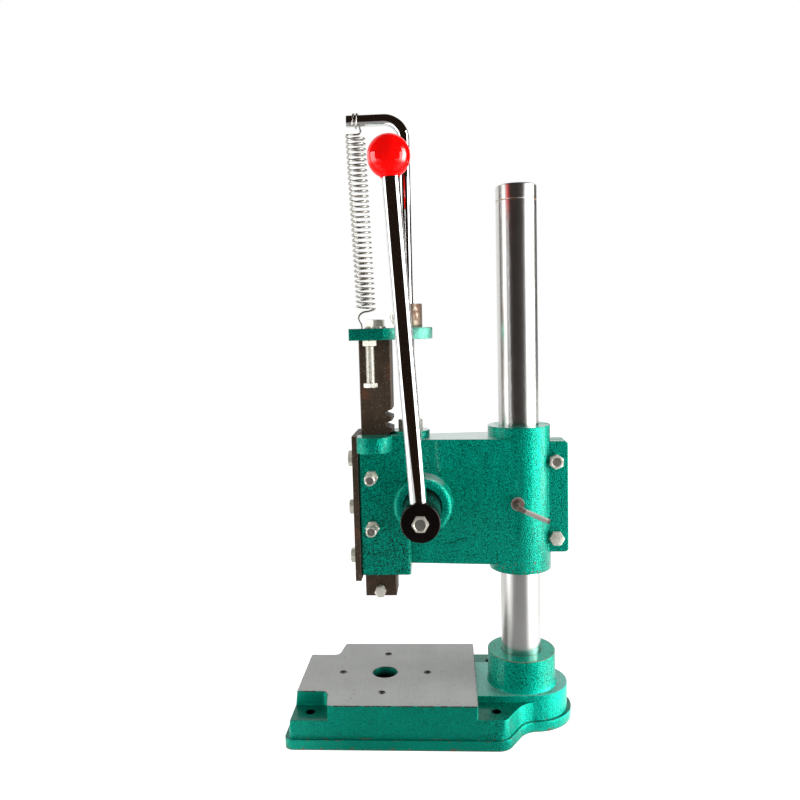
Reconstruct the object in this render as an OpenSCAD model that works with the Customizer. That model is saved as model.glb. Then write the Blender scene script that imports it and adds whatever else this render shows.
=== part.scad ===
// Bench hand press. A square ram with rack teeth runs in a cast head that clamps to a round column.
// Millimetres, +Z up. The origin lies on the floor under the ram, and +X points to the column.

/* [Base] */
// Length of the base along its front, at the floor
base_len = 300; // [292:2:316]
// Depth of the machined table
table_depth = 200; // [190:2:220]
// Length of the machined table
table_len = 251; // [246:1:256]
// Table edge left of the ram axis
table_left = 119; // [112:1:124]
// Height of the table above the floor
table_h = 58; // [54:1:70]
// How far the foot stands out of the table at its left end
foot_left_out = 10.5; // [8:0.5:14]
// How far the foot stands out of the table at front and back
foot_side_out = 8; // [6:0.5:12]
// Height of the skirt round the foot
skirt_h = 14; // [10:1:18]
// How far the skirt stands out of the wall above it
skirt_out = 4; // [2:0.5:6]
// Drop from the table to the deck beside the column
deck_drop = 9; // [6:0.5:12]
// Height of the bolt pads at the left corners
left_pad_h = 38; // [34:1:42]
// Height of the bolt pads beside the column
right_pad_h = 40; // [34:1:44]
// Distance of the left pads' inner walls from the middle plane
pad_wall_y = 59; // [54:1:64]
// Distance of the deck's edges from the middle plane
deck_y = 53; // [48:1:60]
// Length of the left pads
left_pad_len = 43; // [38:1:48]
// Diameter of the holes that bolt the base down
foot_hole_d = 13; // [9:0.5:14]
// Distance between the left and right rows of these holes
foot_hole_span_x = 254; // [250:1:260]
// Distance between the front and back rows of these holes
foot_hole_span_y = 157; // [150:1:166]
// Radius of the round lobe under the column, at the floor
lobe_r = 58; // [56:1:66]
// Distance of the lobe's centre past the column axis
lobe_shift = 12; // [8:1:16]
// Diameter of the die hole in the table
die_hole_d = 36; // [20:1:44]
// Pitch circle of the four tapped holes in the table
tapped_pcd = 124; // [110:1:136]
// Thread size of the tapped holes in the table
tapped_d = 10; // [8:0.5:14]
// Thickness of the ribs and walls under the base
rib_t = 9; // [7:0.5:12]
// Thickness of the table slab over the pockets
table_t = 16; // [13:0.5:18]

/* [Column] */
// Height of the column's top above the floor
col_h = 750; // [700:10:900]
// Diameter of the column
col_d = 56; // [50:1:60]
// Distance from the ram axis to the column axis
throat = 198.5; // [194:0.5:204]
// Diameter of the collar that the column stands in
collar_d = 96; // [84:1:100]
// Height of the collar's top above the floor
collar_top = 95; // [84:1:110]
// Depth of the column's socket
socket_depth = 76; // [50:1:78]
// Chamfer on the column's top edge
col_chamfer = 1.5; // [0.5:0.5:4]

/* [Head casting] */
// Height of the head's lower end above the floor
head_z = 218; // [210:1:240]
// Height of the column clamp
clamp_h = 203.5; // [200:0.5:212]
// Outer diameter of the column clamp
clamp_d = 87; // [82:1:94]
// Height of the block that guides the ram
block_h = 196; // [190:1:200]
// Depth of the block, front to back
block_depth = 80; // [76:1:92]
// Right side of the block, from the ram axis
block_right = 44; // [40:1:48]
// Radius of the block's upright corners
block_corner_r = 5; // [3:0.5:8]
// Height of the arm
arm_h = 174.5; // [164:0.5:178]
// Depth of the arm where it leaves the block
arm_depth = 60; // [56:1:70]
// Height of the arm's underside above the head's lower end
arm_lift = 14; // [8:1:18]
// Radius of the lug that the stop bolt lands on
lug_r = 24.5; // [20:0.5:28]
// Height of the lug
lug_h = 22; // [16:1:30]
// How far the clamp ears reach past the column axis
ear_reach = 65.5; // [64:0.5:74]
// Height of the clamp ears
ear_h = 156; // [140:1:160]
// Height of the ears' lower ends above the head's lower end
ear_rise = 25.5; // [20:0.5:30]
// Thickness of the two ears and their slit together
ear_depth = 40; // [36:1:50]
// Width of the slit between the ears
slit_w = 4; // [2:0.5:6]
// Distance between the clamp bolts
clamp_bolt_span = 108; // [96:1:116]

/* [Ram] */
// Width of the square ram
ram_w = 44; // [38:1:46]
// Length of the ram
ram_len = 363; // [350:1:380]
// How far the ram hangs below the head, raised
ram_below = 36; // [32:1:40]
// Stroke of the ram
stroke = 66; // [50:1:70]
// Running gap between the ram and its guides
ram_gap = 0.06; // [0.04:0.01:0.1]
// Thickness of the gib strip
gib_t = 4; // [3:0.5:4.5]
// Diameter of the tool hole in the ram
tool_hole_d = 20; // [12:1:24]
// Depth of the tool hole in the ram
tool_hole_depth = 40; // [30:1:50]
// Thickness of the cover plate
cover_t = 8; // [6:0.5:10]
// Depth of the cover plate, front to back
cover_depth = 84; // [82:1:92]
// Distance between the rows of cover bolts
cover_row_step = 68.5; // [60:0.5:72]

/* [Rack and pinion] */
// Tooth module of the rack and the pinion
tooth_m = 5; // [4.5:0.25:5.25]
// Number of teeth on the pinion
pinion_teeth = 18; // [17:1:19]
// Face width of the pinion
pinion_face = 30; // [20:1:30]
// Free play between the teeth
backlash = 0.35; // [0.2:0.05:0.6]
// Height of the pinion axis above the head's lower end
pinion_rise = 101; // [98:0.5:104]
// Diameter of the pinion shaft
shaft_d = 30; // [25:1:30]
// Wall of the bushes
bush_wall = 5; // [3:0.5:6]
// Radius of the bearing bosses
boss_r = 40; // [38:0.5:42]
// How far the front boss reaches from the middle plane
boss_reach = 63; // [58:0.5:68]
// How far the rear boss reaches from the middle plane
rear_boss_reach = 48; // [46:0.5:60]

/* [Lever] */
// Length of the lever, from the pinion axis to the ball's centre
lever_len = 448; // [300:4:500]
// Diameter of the lever
lever_d = 22; // [18:1:24]
// Lean of the raised lever toward the operator
lever_lean = 3.45; // [0:0.05:8]
// How far the lever's axis passes left of the pinion axis
lever_aside = 1.5; // [0:0.25:2]
// Diameter of the ball knob
ball_d = 53; // [44:1:60]
// Diameter of the lever hub
hub_d = 50; // [44:1:52]
// How far the hub reaches in front of the middle plane
hub_reach = 149; // [144:1:170]
// Distance of the lever behind the hub's front face
lever_set_back = 18; // [15:1:20]

/* [Spring and post] */
// Diameter of the spring post
post_d = 16; // [14:0.5:17]
// Distance of the post from the ram axis
post_x = 46.4; // [44:0.2:48]
// Height of the post's cross bar above the head's lower end
post_rise = 627.4; // [615:0.1:660]
// Bend radius of the post, at its middle line
post_bend_r = 27; // [22:1:32]
// How far the cross bar reaches past the ram axis
post_overhang = 31.5; // [30:0.5:38]
// Diameter of the casting boss under the post
post_boss_d = 54; // [46:1:54]
// Outer diameter of the spring
coil_d = 28; // [24:0.5:30]
// Wire diameter of the spring
wire_d = 2.6; // [2.2:0.1:3]
// Number of curls in the spring
coil_count = 33; // [20:1:36]
// Distance from the cross bar's axis down to the first curl
coil_drop = 20; // [19:0.5:26]
// Height of the last curl above the crosshead plate
coil_rise = 28; // [22:0.5:34]
// How far the lowest curl's axis lies left of the ram axis
coil_low_x = 12.4; // [10:0.2:15]
// How far the highest curl's axis lies left of the ram axis
coil_high_x = 20.2; // [18:0.2:21]
// How far the spring's lower hook lies left of the ram axis
hook_left = 19; // [18:0.5:22]

/* [Crosshead] */
// Thickness of the crosshead plate
plate_t = 16; // [12:0.5:20]
// Width of the crosshead plate over the ram
plate_w = 90; // [88:1:100]
// Left end of the crosshead plate, from the ram axis
plate_left = 32.5; // [30:0.5:40]
// Radius of the plate's round end about the post
plate_end_r = 31; // [26:0.5:34]
// Diameter of the stop bolt
stop_bolt_d = 12; // [10:0.5:14]
// Distance of the stop bolt in front of the ram axis
stop_bolt_y = 33.5; // [33:0.5:36]
// Diameter of the stop collar on the post
stop_collar_d = 40; // [36:1:44]
// Height of the stop collar
stop_collar_h = 32.5; // [24:0.5:40]

/* [Hidden] */

$fn = 64;
slack = 0.05;      // radial gap of parts that are bolted or pressed into one body
run_gap = 0.08;    // radial gap of the head on the column
seat_gap = 0.3;    // gap under a part that only comes near its seat
cut = 1;           // how far a cutting shape runs past the face that it cuts

// Base levels and outline
table_x0 = -table_left;
table_x1 = table_len - table_left;
foot_x0 = table_x0 - foot_left_out;
foot_x1 = foot_x0 + base_len;
foot_y = table_depth / 2 + foot_side_out;
deck_h = table_h - deck_drop;
lobe_x = throat + lobe_shift;
wall_set_in = 1.5;
lobe_wall_r = lobe_r - skirt_out - wall_set_in;
foot_corner_r = 12;
wall_corner_r = 8;
web_corner_r = 22;
web_corner_x = foot_x1 - 13;
web_angle = 60;
web_fillet_r = 32;
web_bite = 0.4;
pad_flare = 7;
foot_hole_x0 = table_x0 + 22;
foot_hole_x1 = foot_hole_x0 + foot_hole_span_x;
socket_z = collar_top - socket_depth;
die_boss_r = die_hole_d / 2 + 10;
boss_wall = 5;

// Head levels
clamp_top = head_z + clamp_h;
block_top = head_z + block_h;
block_y = block_depth / 2;
arm_z0 = head_z + arm_lift;
arm_z1 = arm_z0 + arm_h;
arm_y = arm_depth / 2;
clamp_r = clamp_d / 2;
ear_z0 = head_z + ear_rise;
clamp_bolt_z = ear_z0 + ear_h / 2 - 4;
ear_x1 = throat + ear_reach;
clamp_bolt_x = throat + clamp_r + 5.5;
clamp_bolt_d = 12;
clamp_hex = 18;
clamp_head_h = 8;
clamp_washer_t = 2;
clamp_nut_h = 10;
spot_face_r = 12.5;
spot_face_len = 24;
lug_x = -3;

// Ram and guides
ram_half = ram_w / 2;
channel_y0 = -ram_half - ram_gap - gib_t;
channel_y1 = ram_half + ram_gap;
channel_x1 = ram_half + ram_gap;
cover_x1 = -ram_half - 3.5;
cover_x0 = cover_x1 - cover_t;
cover_low = 8;
ram_z0 = head_z - ram_below;
ram_z1 = ram_z0 + ram_len;
ram_edge = 1.2;

// Cover bolts and gib screws
cover_bolt_d = 10;
cover_bolt_hex = 19;
cover_bolt_head_h = 6.2;
cover_bolt_len = 20;
cover_bolt_y = cover_depth / 2 - 10.5;
cover_mid_z = head_z + block_h / 2 - 2.5;
gib_screw_d = 10;
gib_screw_x = -7.5;
gib_screw_hex = 15;
gib_screw_head_h = 7;
gib_nut_hex = 17;
gib_nut_h = 8;
gib_screw_span = 70.5;
gib_mid_z = head_z + block_h / 2 + 5.5;
gib_screw_out = 28;

// Pinion, shaft and hub
pitch_r = tooth_m * pinion_teeth / 2;
tooth_top = 0.8 * tooth_m;
tooth_root = tooth_m;
tip_r = pitch_r + tooth_top;
root_r = pitch_r - tooth_root;
tooth_pitch = PI * tooth_m;
pinion_x = ram_half - tooth_top + pitch_r;
pinion_z = head_z + pinion_rise;
pressure_angle = 20;
rack_phase = -1.7;
gear_turn = 180 - rack_phase / pitch_r * 180 / PI;
rack_below = 34;
rack_above = 126;
shaft_r = shaft_d / 2;
bush_r = shaft_r + bush_wall;
bush_flange_r = bush_r + 5;
bush_flange_t = 3;
boss_floor = 40;
boss_round_r = 7;
boss_flare = 7;
front_recess_r = hub_d / 2 + 1.2;
rear_recess_r = 30;
gear_gap = 2;
hub_back = boss_floor + bush_flange_t + seat_gap;
hub_bolt_depth = 39;
shaft_front = hub_reach - hub_bolt_depth;
rear_collar_t = 14;
rear_screw_d = 8;
rear_screw_hex = 4.6;
shaft_back = hub_back + rear_collar_t + 3;
key_w = 8;
key_h = 7;
hub_key_len = 30;
hub_key_y = -hub_back - 12;
lever_y = hub_reach - lever_set_back;
lever_inner = 9.5;
hub_bolt_d = 12;
hub_bolt_hex = 18.5;
hub_bolt_head_h = 8;
ball_bore_depth = 20;

// Post, collar, crosshead and spring
post_z = head_z + post_rise;
post_boss_rise = 10.5;
post_boss_over_block = 3;
post_boss_top = max(block_top + post_boss_over_block, arm_z1 + post_boss_rise);
post_boss_root = 30;
post_socket_depth = 37;
post_foot = post_boss_top - post_socket_depth;
post_nut_hex = 30;
post_nut_h = 15;
plate_z0 = ram_z1;
plate_z1 = plate_z0 + plate_t;
plate_hole_gap = 0.5;
stop_bolt_x = -5.2;
stop_bolt_hex = 18.5;
stop_bolt_head_h = 6;
stop_nut_h = 8;
stop_bolt_head_z = block_top + stroke + seat_gap;
crosshead_bolt_d = 16;
crosshead_bolt_hex = 24;
crosshead_bolt_head_h = 10;
crosshead_washer_d = 30;
crosshead_washer_t = 2.5;
collar_screw_angle = 27;
collar_screw_hex = 19;
collar_screw_d = 12;
collar_screw_rise = 14.5;
tool_screw_hex = 14.5;
tool_screw_d = 10;
tool_screw_rise = 10.5;
tool_screw_out = 17;

// Spring wire
coil_r = (coil_d - wire_d) / 2;
coil_low = [-coil_low_x, 0, plate_z1 + coil_rise];
coil_high = [-coil_high_x, 0, post_z - coil_drop];
curl_start = 20;
curl_turns = coil_count + 0.5;
hook_x = -hook_left;
hook_hole_r = wire_d / 2 + 0.5;
hook_foot = [hook_x, 0, plate_z0 + 4];
hook_top = [hook_x, 0, plate_z1 + wire_d];
low_bulge = [hook_x - 4.2, 0, plate_z1 + 15];
low_centre = coil_low + [0.5, 0, -4];
high_centre = coil_high + [0, 0, 2];
high_bulge = [-12.6, 0, post_z - 14];
eye_r = (post_d + wire_d) / 2 + seat_gap;
eye_x0 = -14.5;
eye_x1 = -23;
eye_start = -50;
eye_turns = 1.75;
rings_per_curl = 8;
eye_rings_per_turn = 12;
blend_rings = 6;
wire_sides = 6;

// Column lock screw
lock_angle = 8;
lock_d = 10;
lock_rod_d = 7;
lock_collar_d = 18;
lock_collar_t = 5;
lock_reach = 46;
lock_tilt = 23;
lock_z = pinion_z - 1;
lock_out = 12;

// A cylinder along X from x0 to x1
module x_cylinder(x0, x1, y, z, r) {
    translate([x0, y, z])
        rotate([0, 90, 0])
            cylinder(r = r, h = x1 - x0);
}

// A cylinder along Y from y0 to y1
module y_cylinder(x, y0, y1, z, r) {
    translate([x, y0, z])
        rotate([-90, 0, 0])
            cylinder(r = r, h = y1 - y0);
}

// A box given by its two corners
module box(low, high) {
    translate(low)
        cube(high - low);
}

// A flat rectangle with round corners
module round_rect(x0, x1, y0, y1, r) {
    translate([x0 + r, y0])
        square([x1 - x0 - 2 * r, y1 - y0]);
    translate([x0, y0 + r])
        square([x1 - x0, y1 - y0 - 2 * r]);
    for (x = [x0 + r, x1 - r], y = [y0 + r, y1 - r])
        translate([x, y])
            circle(r = r);
}

// A hexagon bar with its upper rim turned to a chamfer, along +Z
module hex_bar(flats, h) {
    corner_r = flats / 2 / cos(30);
    intersection() {
        cylinder(r = corner_r, h = h, $fn = 6);
        cylinder(r1 = corner_r + h - 1.1, r2 = corner_r - 1.1, h = h);
    }
}

// A hexagon nut along +Z, chamfered at both rims
module hex_nut(flats, h, bore_d) {
    corner_r = flats / 2 / cos(30);
    difference() {
        intersection() {
            hex_bar(flats, h);
            cylinder(r1 = corner_r - 0.9, r2 = corner_r + h - 0.9, h = h);
        }
        translate([0, 0, -cut])
            cylinder(d = bore_d, h = h + 2 * cut);
    }
}

// A hexagon bolt: its shank runs along -Z from the origin and its head along +Z
module hex_bolt(d, shank, flats, head_h, dish_r = 0) {
    dish_depth = 0.8;
    difference() {
        hex_bar(flats, head_h);
        if (dish_r > 0)
            translate([0, 0, head_h - dish_depth])
                cylinder(r1 = dish_r - dish_depth, r2 = dish_r + cut, h = dish_depth + cut);
    }
    translate([0, 0, -shank])
        cylinder(d = d, h = shank);
    translate([0, 0, -shank - 0.8])
        cylinder(d1 = d - 1.6, d2 = d, h = 0.8);
}

// One side of the web between the foot's right corner and the lobe, with a hollow arc at the
// lobe, whose radius at this height is round_r
module foot_web(inset, round_r) {
    overlap = 5;
    along = [cos(web_angle), sin(web_angle)];
    out = [sin(web_angle), -cos(web_angle)];
    arc_r = web_fillet_r + inset;
    corner = [web_corner_x, -foot_y + web_corner_r];
    start = corner + (web_corner_r - inset) * out;
    lobe = [lobe_x, 0];
    to_lobe = lobe - start;
    apart = round_r + arc_r - web_bite;
    run = to_lobe * along - sqrt(pow(apart, 2) - pow(arc_r - to_lobe * out, 2));
    meet = start + run * along;
    arc = meet + arc_r * out;
    difference() {
        polygon([corner, start, meet, arc, lobe, [corner[0] - overlap, 0],
            [corner[0] - overlap, corner[1]]]);
        translate(arc)
            circle(r = arc_r);
    }
}

// The foot's right end with its two webs but without the lobe, drawn in by inset
module foot_right_end(inset, round_r) {
    x0 = table_x1 - 30;
    translate([x0, -foot_y + inset])
        square([web_corner_x - x0, 2 * (foot_y - inset)]);
    for (side = [0, 1])
        mirror([0, side]) {
            translate([web_corner_x, -foot_y + web_corner_r])
                circle(r = web_corner_r - inset);
            foot_web(inset, round_r);
        }
}

// Outline of the skirt on the floor
module foot_outline() {
    round_rect(foot_x0, table_x1, -foot_y, foot_y, foot_corner_r);
    foot_right_end(0, lobe_r);
    translate([lobe_x, 0])
        circle(r = lobe_r);
}

// Table block and the lower pads beside the column, with walls that lean in toward the top
module table_block() {
    low_x = foot_x0 + skirt_out + wall_set_in;
    high_x = lobe_x + cut;
    low_y = foot_y - skirt_out;
    high_y = table_depth / 2;
    z0 = skirt_h - cut;
    z1 = table_h;
    intersection() {
        translate([0, 0, z0])
            union() {
                linear_extrude(z1 - z0)
                    round_rect(low_x, table_x1, -low_y, low_y, wall_corner_r);
                linear_extrude(right_pad_h - z0)
                    foot_right_end(skirt_out, lobe_wall_r);
            }
        translate([low_x, 0, 0])
            rotate([90, 0, 90])
                linear_extrude(high_x - low_x)
                    polygon([[-low_y, z0], [low_y, z0], [high_y, z1], [-high_y, z1]]);
        translate([0, low_y, 0])
            rotate([90, 0, 0])
                linear_extrude(2 * low_y)
                    polygon([[low_x, z0], [high_x, z0], [high_x, z1], [table_x0, z1]]);
    }
}

// One corner pad of the table, cut from above, at the front left
module left_pad_cut() {
    wall_x = table_x0 + left_pad_len;
    round_r = 7;
    translate([0, 0, left_pad_h])
        linear_extrude(table_h)
            difference() {
                polygon([
                    [foot_x0 - cut, -pad_wall_y],
                    [wall_x, -pad_wall_y],
                    [wall_x + pad_flare, -foot_y - cut],
                    [foot_x0 - cut, -foot_y - cut]]);
                difference() {
                    translate([wall_x - round_r, -pad_wall_y - round_r])
                        square(2 * round_r);
                    translate([wall_x - round_r, -pad_wall_y - round_r])
                        circle(r = round_r);
                }
            }
}

// Pockets between the ribs under the table, with bosses left round the holes
module base_pockets() {
    inner_y = table_depth / 2 - rib_t;
    wall_y = pad_wall_y - 4;
    core_x = die_boss_r;
    left_end = table_x0 + rib_t;
    right_end = core_x + rib_t + (throat - collar_d / 2 - core_x) * 0.5;
    mid_top = table_h - table_t;
    pad_top = left_pad_h - table_t + 4;
    difference() {
        union() {
            for (side = [-1, 1])
                for (span = [[left_end, -core_x - rib_t], [-core_x, core_x],
                             [core_x + rib_t, right_end]]) {
                    near = min(side * (wall_y + rib_t / 2), side * inner_y);
                    far = max(side * (wall_y + rib_t / 2), side * inner_y);
                    box([span[0], near, -cut], [span[1], far, pad_top]);
                }
            for (span = [[left_end, -core_x - rib_t], [core_x + rib_t, right_end]])
                for (band = [[-wall_y + rib_t / 2, -rib_t / 2], [rib_t / 2, wall_y - rib_t / 2]])
                    box([span[0], band[0], -cut], [span[1], band[1], mid_top]);
        }
        for (a = [0, 90, 180, 270])
            rotate([0, 0, a])
                translate([tapped_pcd / 2, 0, -2 * cut])
                    cylinder(r = tapped_d / 2 + boss_wall, h = table_h);
        for (side = [-1, 1])
            translate([foot_hole_x0, side * foot_hole_span_y / 2, -2 * cut])
                cylinder(r = foot_hole_d / 2 + boss_wall, h = table_h);
    }
}

module base_casting() {
    color("seagreen")
        difference() {
            union() {
                linear_extrude(skirt_h)
                    foot_outline();
                table_block();
                translate([0, 0, skirt_h])
                    linear_extrude(deck_h - skirt_h)
                        polygon([
                            [table_x1 - 2, -deck_y],
                            [throat - collar_d / 2 + 20, -deck_y],
                            [lobe_x, -lobe_wall_r + web_bite],
                            [lobe_x, lobe_wall_r - web_bite],
                            [throat - collar_d / 2 + 20, deck_y],
                            [table_x1 - 2, deck_y]]);
                translate([lobe_x, 0, skirt_h - cut])
                    cylinder(r = lobe_wall_r, h = deck_h - skirt_h + cut);
                translate([throat, 0, skirt_h])
                    cylinder(d = collar_d, h = collar_top - skirt_h);
                translate([throat, 0, deck_h])
                    cylinder(r1 = collar_d / 2 + 2, r2 = collar_d / 2, h = 3);
            }
            left_pad_cut();
            mirror([0, 1, 0])
                left_pad_cut();
            base_pockets();
            translate([throat, 0, socket_z])
                cylinder(d = col_d + 2 * slack, h = socket_depth + cut);
            translate([0, 0, -cut])
                cylinder(d = die_hole_d, h = table_h + 2 * cut);
            for (x = [foot_hole_x0, foot_hole_x1], y = [-1, 1])
                translate([x, y * foot_hole_span_y / 2, -cut])
                    cylinder(d = foot_hole_d, h = table_h + 2 * cut);
            for (a = [0, 90, 180, 270])
                rotate([0, 0, a])
                    translate([tapped_pcd / 2, 0, -cut])
                        cylinder(d = tapped_d, h = table_h + 2 * cut);
        }
}

module column() {
    ring_drop = 20;
    ring_w = 1.2;
    ring_depth = 0.4;
    profile = [
        [0, socket_z],
        [col_d / 2, socket_z],
        [col_d / 2, col_h - ring_drop - ring_w],
        [col_d / 2 - ring_depth, col_h - ring_drop - ring_w / 2],
        [col_d / 2, col_h - ring_drop],
        [col_d / 2, col_h - col_chamfer],
        [col_d / 2 - col_chamfer, col_h],
        [0, col_h]];
    color("lightgray")
        translate([throat, 0, 0])
            rotate_extrude()
                polygon(profile);
}

// Solid mass of the head before any hole is cut
module head_mass() {
    slope = (clamp_r - 0.6 - arm_y) / (throat - block_right);
    arm_x0 = block_right - 10;
    arm_y0 = arm_y - slope * (block_right - arm_x0);
    translate([0, 0, head_z])
        linear_extrude(block_h)
            round_rect(cover_x1, block_right, -block_y, block_y, block_corner_r);
    translate([0, 0, arm_z0])
        linear_extrude(arm_h)
            polygon([
                [arm_x0, -arm_y0],
                [throat, -clamp_r + 0.6],
                [throat, clamp_r - 0.6],
                [arm_x0, arm_y0]]);
    translate([throat, 0, head_z])
        cylinder(r = clamp_r, h = clamp_h);
    translate([0, ear_depth / 2, 0])
        rotate([90, 0, 0])
            linear_extrude(ear_depth)
                round_rect(throat + 20, ear_x1, ear_z0, ear_z0 + ear_h, 5);
    intersection() {
        translate([lug_x, -block_y, block_top - lug_h])
            cylinder(r = lug_r, h = lug_h);
        box([cover_x1, -block_y - lug_r - cut, head_z], [block_right, 0, block_top]);
    }
    translate([post_x, 0, arm_z1 - post_boss_root])
        cylinder(d = post_boss_d, h = post_boss_top - arm_z1 + post_boss_root);
    translate([pinion_x, 0, pinion_z]) {
        rotate([90, 0, 0])
            bearing_boss(boss_reach);
        rotate([-90, 0, 0])
            bearing_boss(rear_boss_reach);
    }
}

// Bearing boss along +Z with a round rim and a flare at its foot
module bearing_boss(reach) {
    flat_r = boss_r - boss_round_r;
    rotate_extrude() {
        square([boss_r, reach - boss_round_r]);
        square([flat_r, reach]);
        translate([flat_r, reach - boss_round_r])
            intersection() {
                circle(r = boss_round_r);
                square(boss_round_r);
            }
    }
    cylinder(r1 = boss_r + boss_flare, r2 = boss_r - 0.5, h = arm_y + 13);
}

module head_casting() {
    color("seagreen")
        difference() {
            head_mass();
            // Channel of the ram, open to the left
            box([cover_x1 - cut, channel_y0, head_z - cut],
                [channel_x1, channel_y1, post_boss_top + cut]);
            // Room for the pinion, open into the channel
            y_cylinder(pinion_x, -pinion_face / 2 - gear_gap, pinion_face / 2 + gear_gap,
                pinion_z, tip_r + gear_gap);
            box([channel_x1 - cut, -pinion_face / 2 - gear_gap, pinion_z - tip_r - gear_gap],
                [pinion_x, pinion_face / 2 + gear_gap, pinion_z + tip_r + gear_gap]);
            // Bearing bores and the round recesses in the boss rims
            y_cylinder(pinion_x, -boss_reach - cut, boss_reach + cut, pinion_z, bush_r + slack);
            y_cylinder(pinion_x, -boss_reach - cut, -boss_floor, pinion_z, front_recess_r);
            y_cylinder(pinion_x, boss_floor, rear_boss_reach + cut, pinion_z, rear_recess_r);
            // Column bore and slit
            translate([throat, 0, head_z - cut])
                cylinder(d = col_d + 2 * run_gap, h = clamp_h + 2 * cut);
            box([throat, -slit_w / 2, head_z - cut], [ear_x1 + cut, slit_w / 2, clamp_top + cut]);
            // Bolt holes
            for (z = [-1, 1])
                y_cylinder(clamp_bolt_x, -ear_depth, ear_depth,
                    clamp_bolt_z + z * clamp_bolt_span / 2, clamp_bolt_d / 2 + 0.5);
            for (z = [-1, 1], side = [0, 1])
                mirror([0, side])
                    y_cylinder(clamp_bolt_x, ear_depth / 2, ear_depth / 2 + spot_face_len,
                        clamp_bolt_z + z * clamp_bolt_span / 2, spot_face_r);
            for (row = [-1, 0, 1], side = [-1, 1])
                x_cylinder(cover_x1 - cut, cover_x1 + cover_bolt_len, side * cover_bolt_y,
                    cover_mid_z + row * cover_row_step, cover_bolt_d / 2 + slack);
            for (z = [-1, 1])
                y_cylinder(gib_screw_x, -block_y - lug_r, channel_y0 + cut,
                    gib_mid_z + z * gib_screw_span / 2, gib_screw_d / 2 + slack);
            translate([post_x, 0, post_foot])
                cylinder(d = post_d + 2 * slack, h = block_h);
            translate([throat, 0, lock_z])
                rotate([90, 0, -lock_angle])
                    cylinder(d = lock_d + 2 * run_gap, h = clamp_d);
        }
}

module cover_plate() {
    color([0.25, 0.2, 0.18])
        difference() {
            union() {
                box([cover_x0, -cover_depth / 2, head_z - cover_low],
                    [cover_x1, cover_depth / 2, block_top]);
                box([cover_x1 - cut, channel_y0 + slack, head_z],
                    [-ram_half - ram_gap, channel_y1 - slack, block_top - cut]);
            }
            for (row = [-1, 0, 1], side = [-1, 1])
                x_cylinder(cover_x0 - cut, cover_x1 + cut, side * cover_bolt_y,
                    cover_mid_z + row * cover_row_step, cover_bolt_d / 2 + 0.3);
        }
}

module cover_bolts() {
    color("silver")
        for (row = [-1, 0, 1], side = [-1, 1])
            translate([cover_x0, side * cover_bolt_y, cover_mid_z + row * cover_row_step])
                rotate([0, -90, 0])
                    hex_bolt(cover_bolt_d, cover_bolt_len + cover_t - 2, cover_bolt_hex,
                        cover_bolt_head_h);
}

module gib_strip() {
    color("dimgray")
        box([-ram_half, channel_y0 + slack, head_z + 3],
            [ram_half, -ram_half - ram_gap, block_top - 3]);
}

module gib_screws() {
    shank = block_y + gib_screw_out - gib_screw_head_h + channel_y0 - slack - 0.9;
    color("silver")
        for (z = [-1, 1])
            translate([gib_screw_x, -block_y - gib_screw_out + gib_screw_head_h,
                gib_mid_z + z * gib_screw_span / 2])
                rotate([90, 0, 0])
                    hex_bolt(gib_screw_d, shank, gib_screw_hex, gib_screw_head_h);
}

module gib_lock_nuts() {
    color("silver")
        for (z = [-1, 1])
            translate([gib_screw_x, -block_y, gib_mid_z + z * gib_screw_span / 2])
                rotate([90, 0, 0])
                    hex_nut(gib_nut_hex, gib_nut_h, gib_screw_d + 2 * slack);
}

// A flanged bush along +Z, with its flange on the boss floor
module flanged_bush() {
    length = boss_floor - pinion_face / 2 - gear_gap;
    difference() {
        union() {
            translate([0, 0, boss_floor - length])
                cylinder(r = bush_r, h = length);
            translate([0, 0, boss_floor])
                cylinder(r = bush_flange_r, h = bush_flange_t);
        }
        cylinder(r = shaft_r + slack, h = boss_floor + bush_flange_t + cut);
    }
}

module front_bush() {
    color("darkgoldenrod")
        translate([pinion_x, 0, pinion_z])
            rotate([90, 0, 0])
                flanged_bush();
}

module rear_bush() {
    color("darkgoldenrod")
        translate([pinion_x, 0, pinion_z])
            rotate([-90, 0, 0])
                flanged_bush();
}

module clamp_bolts() {
    shank = ear_depth + clamp_washer_t + clamp_nut_h + 4;
    color("silver")
        for (z = [-1, 1])
            translate([clamp_bolt_x, -ear_depth / 2, clamp_bolt_z + z * clamp_bolt_span / 2])
                rotate([90, 0, 0])
                    hex_bolt(clamp_bolt_d, shank, clamp_hex, clamp_head_h, z > 0 ? 6.2 : 0);
}

module clamp_washers() {
    color("silver")
        for (z = [-1, 1])
            translate([clamp_bolt_x, ear_depth / 2, clamp_bolt_z + z * clamp_bolt_span / 2])
                rotate([-90, 0, 0])
                    difference() {
                        cylinder(d = clamp_hex + 5, h = clamp_washer_t);
                        translate([0, 0, -cut])
                            cylinder(d = clamp_bolt_d + 1, h = clamp_washer_t + 2 * cut);
                    }
}

module clamp_nuts() {
    color("silver")
        for (z = [-1, 1])
            translate([clamp_bolt_x, ear_depth / 2 + clamp_washer_t,
                clamp_bolt_z + z * clamp_bolt_span / 2])
                rotate([-90, 0, 0])
                    hex_nut(clamp_hex, clamp_nut_h, clamp_bolt_d + 2 * slack);
}

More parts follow.
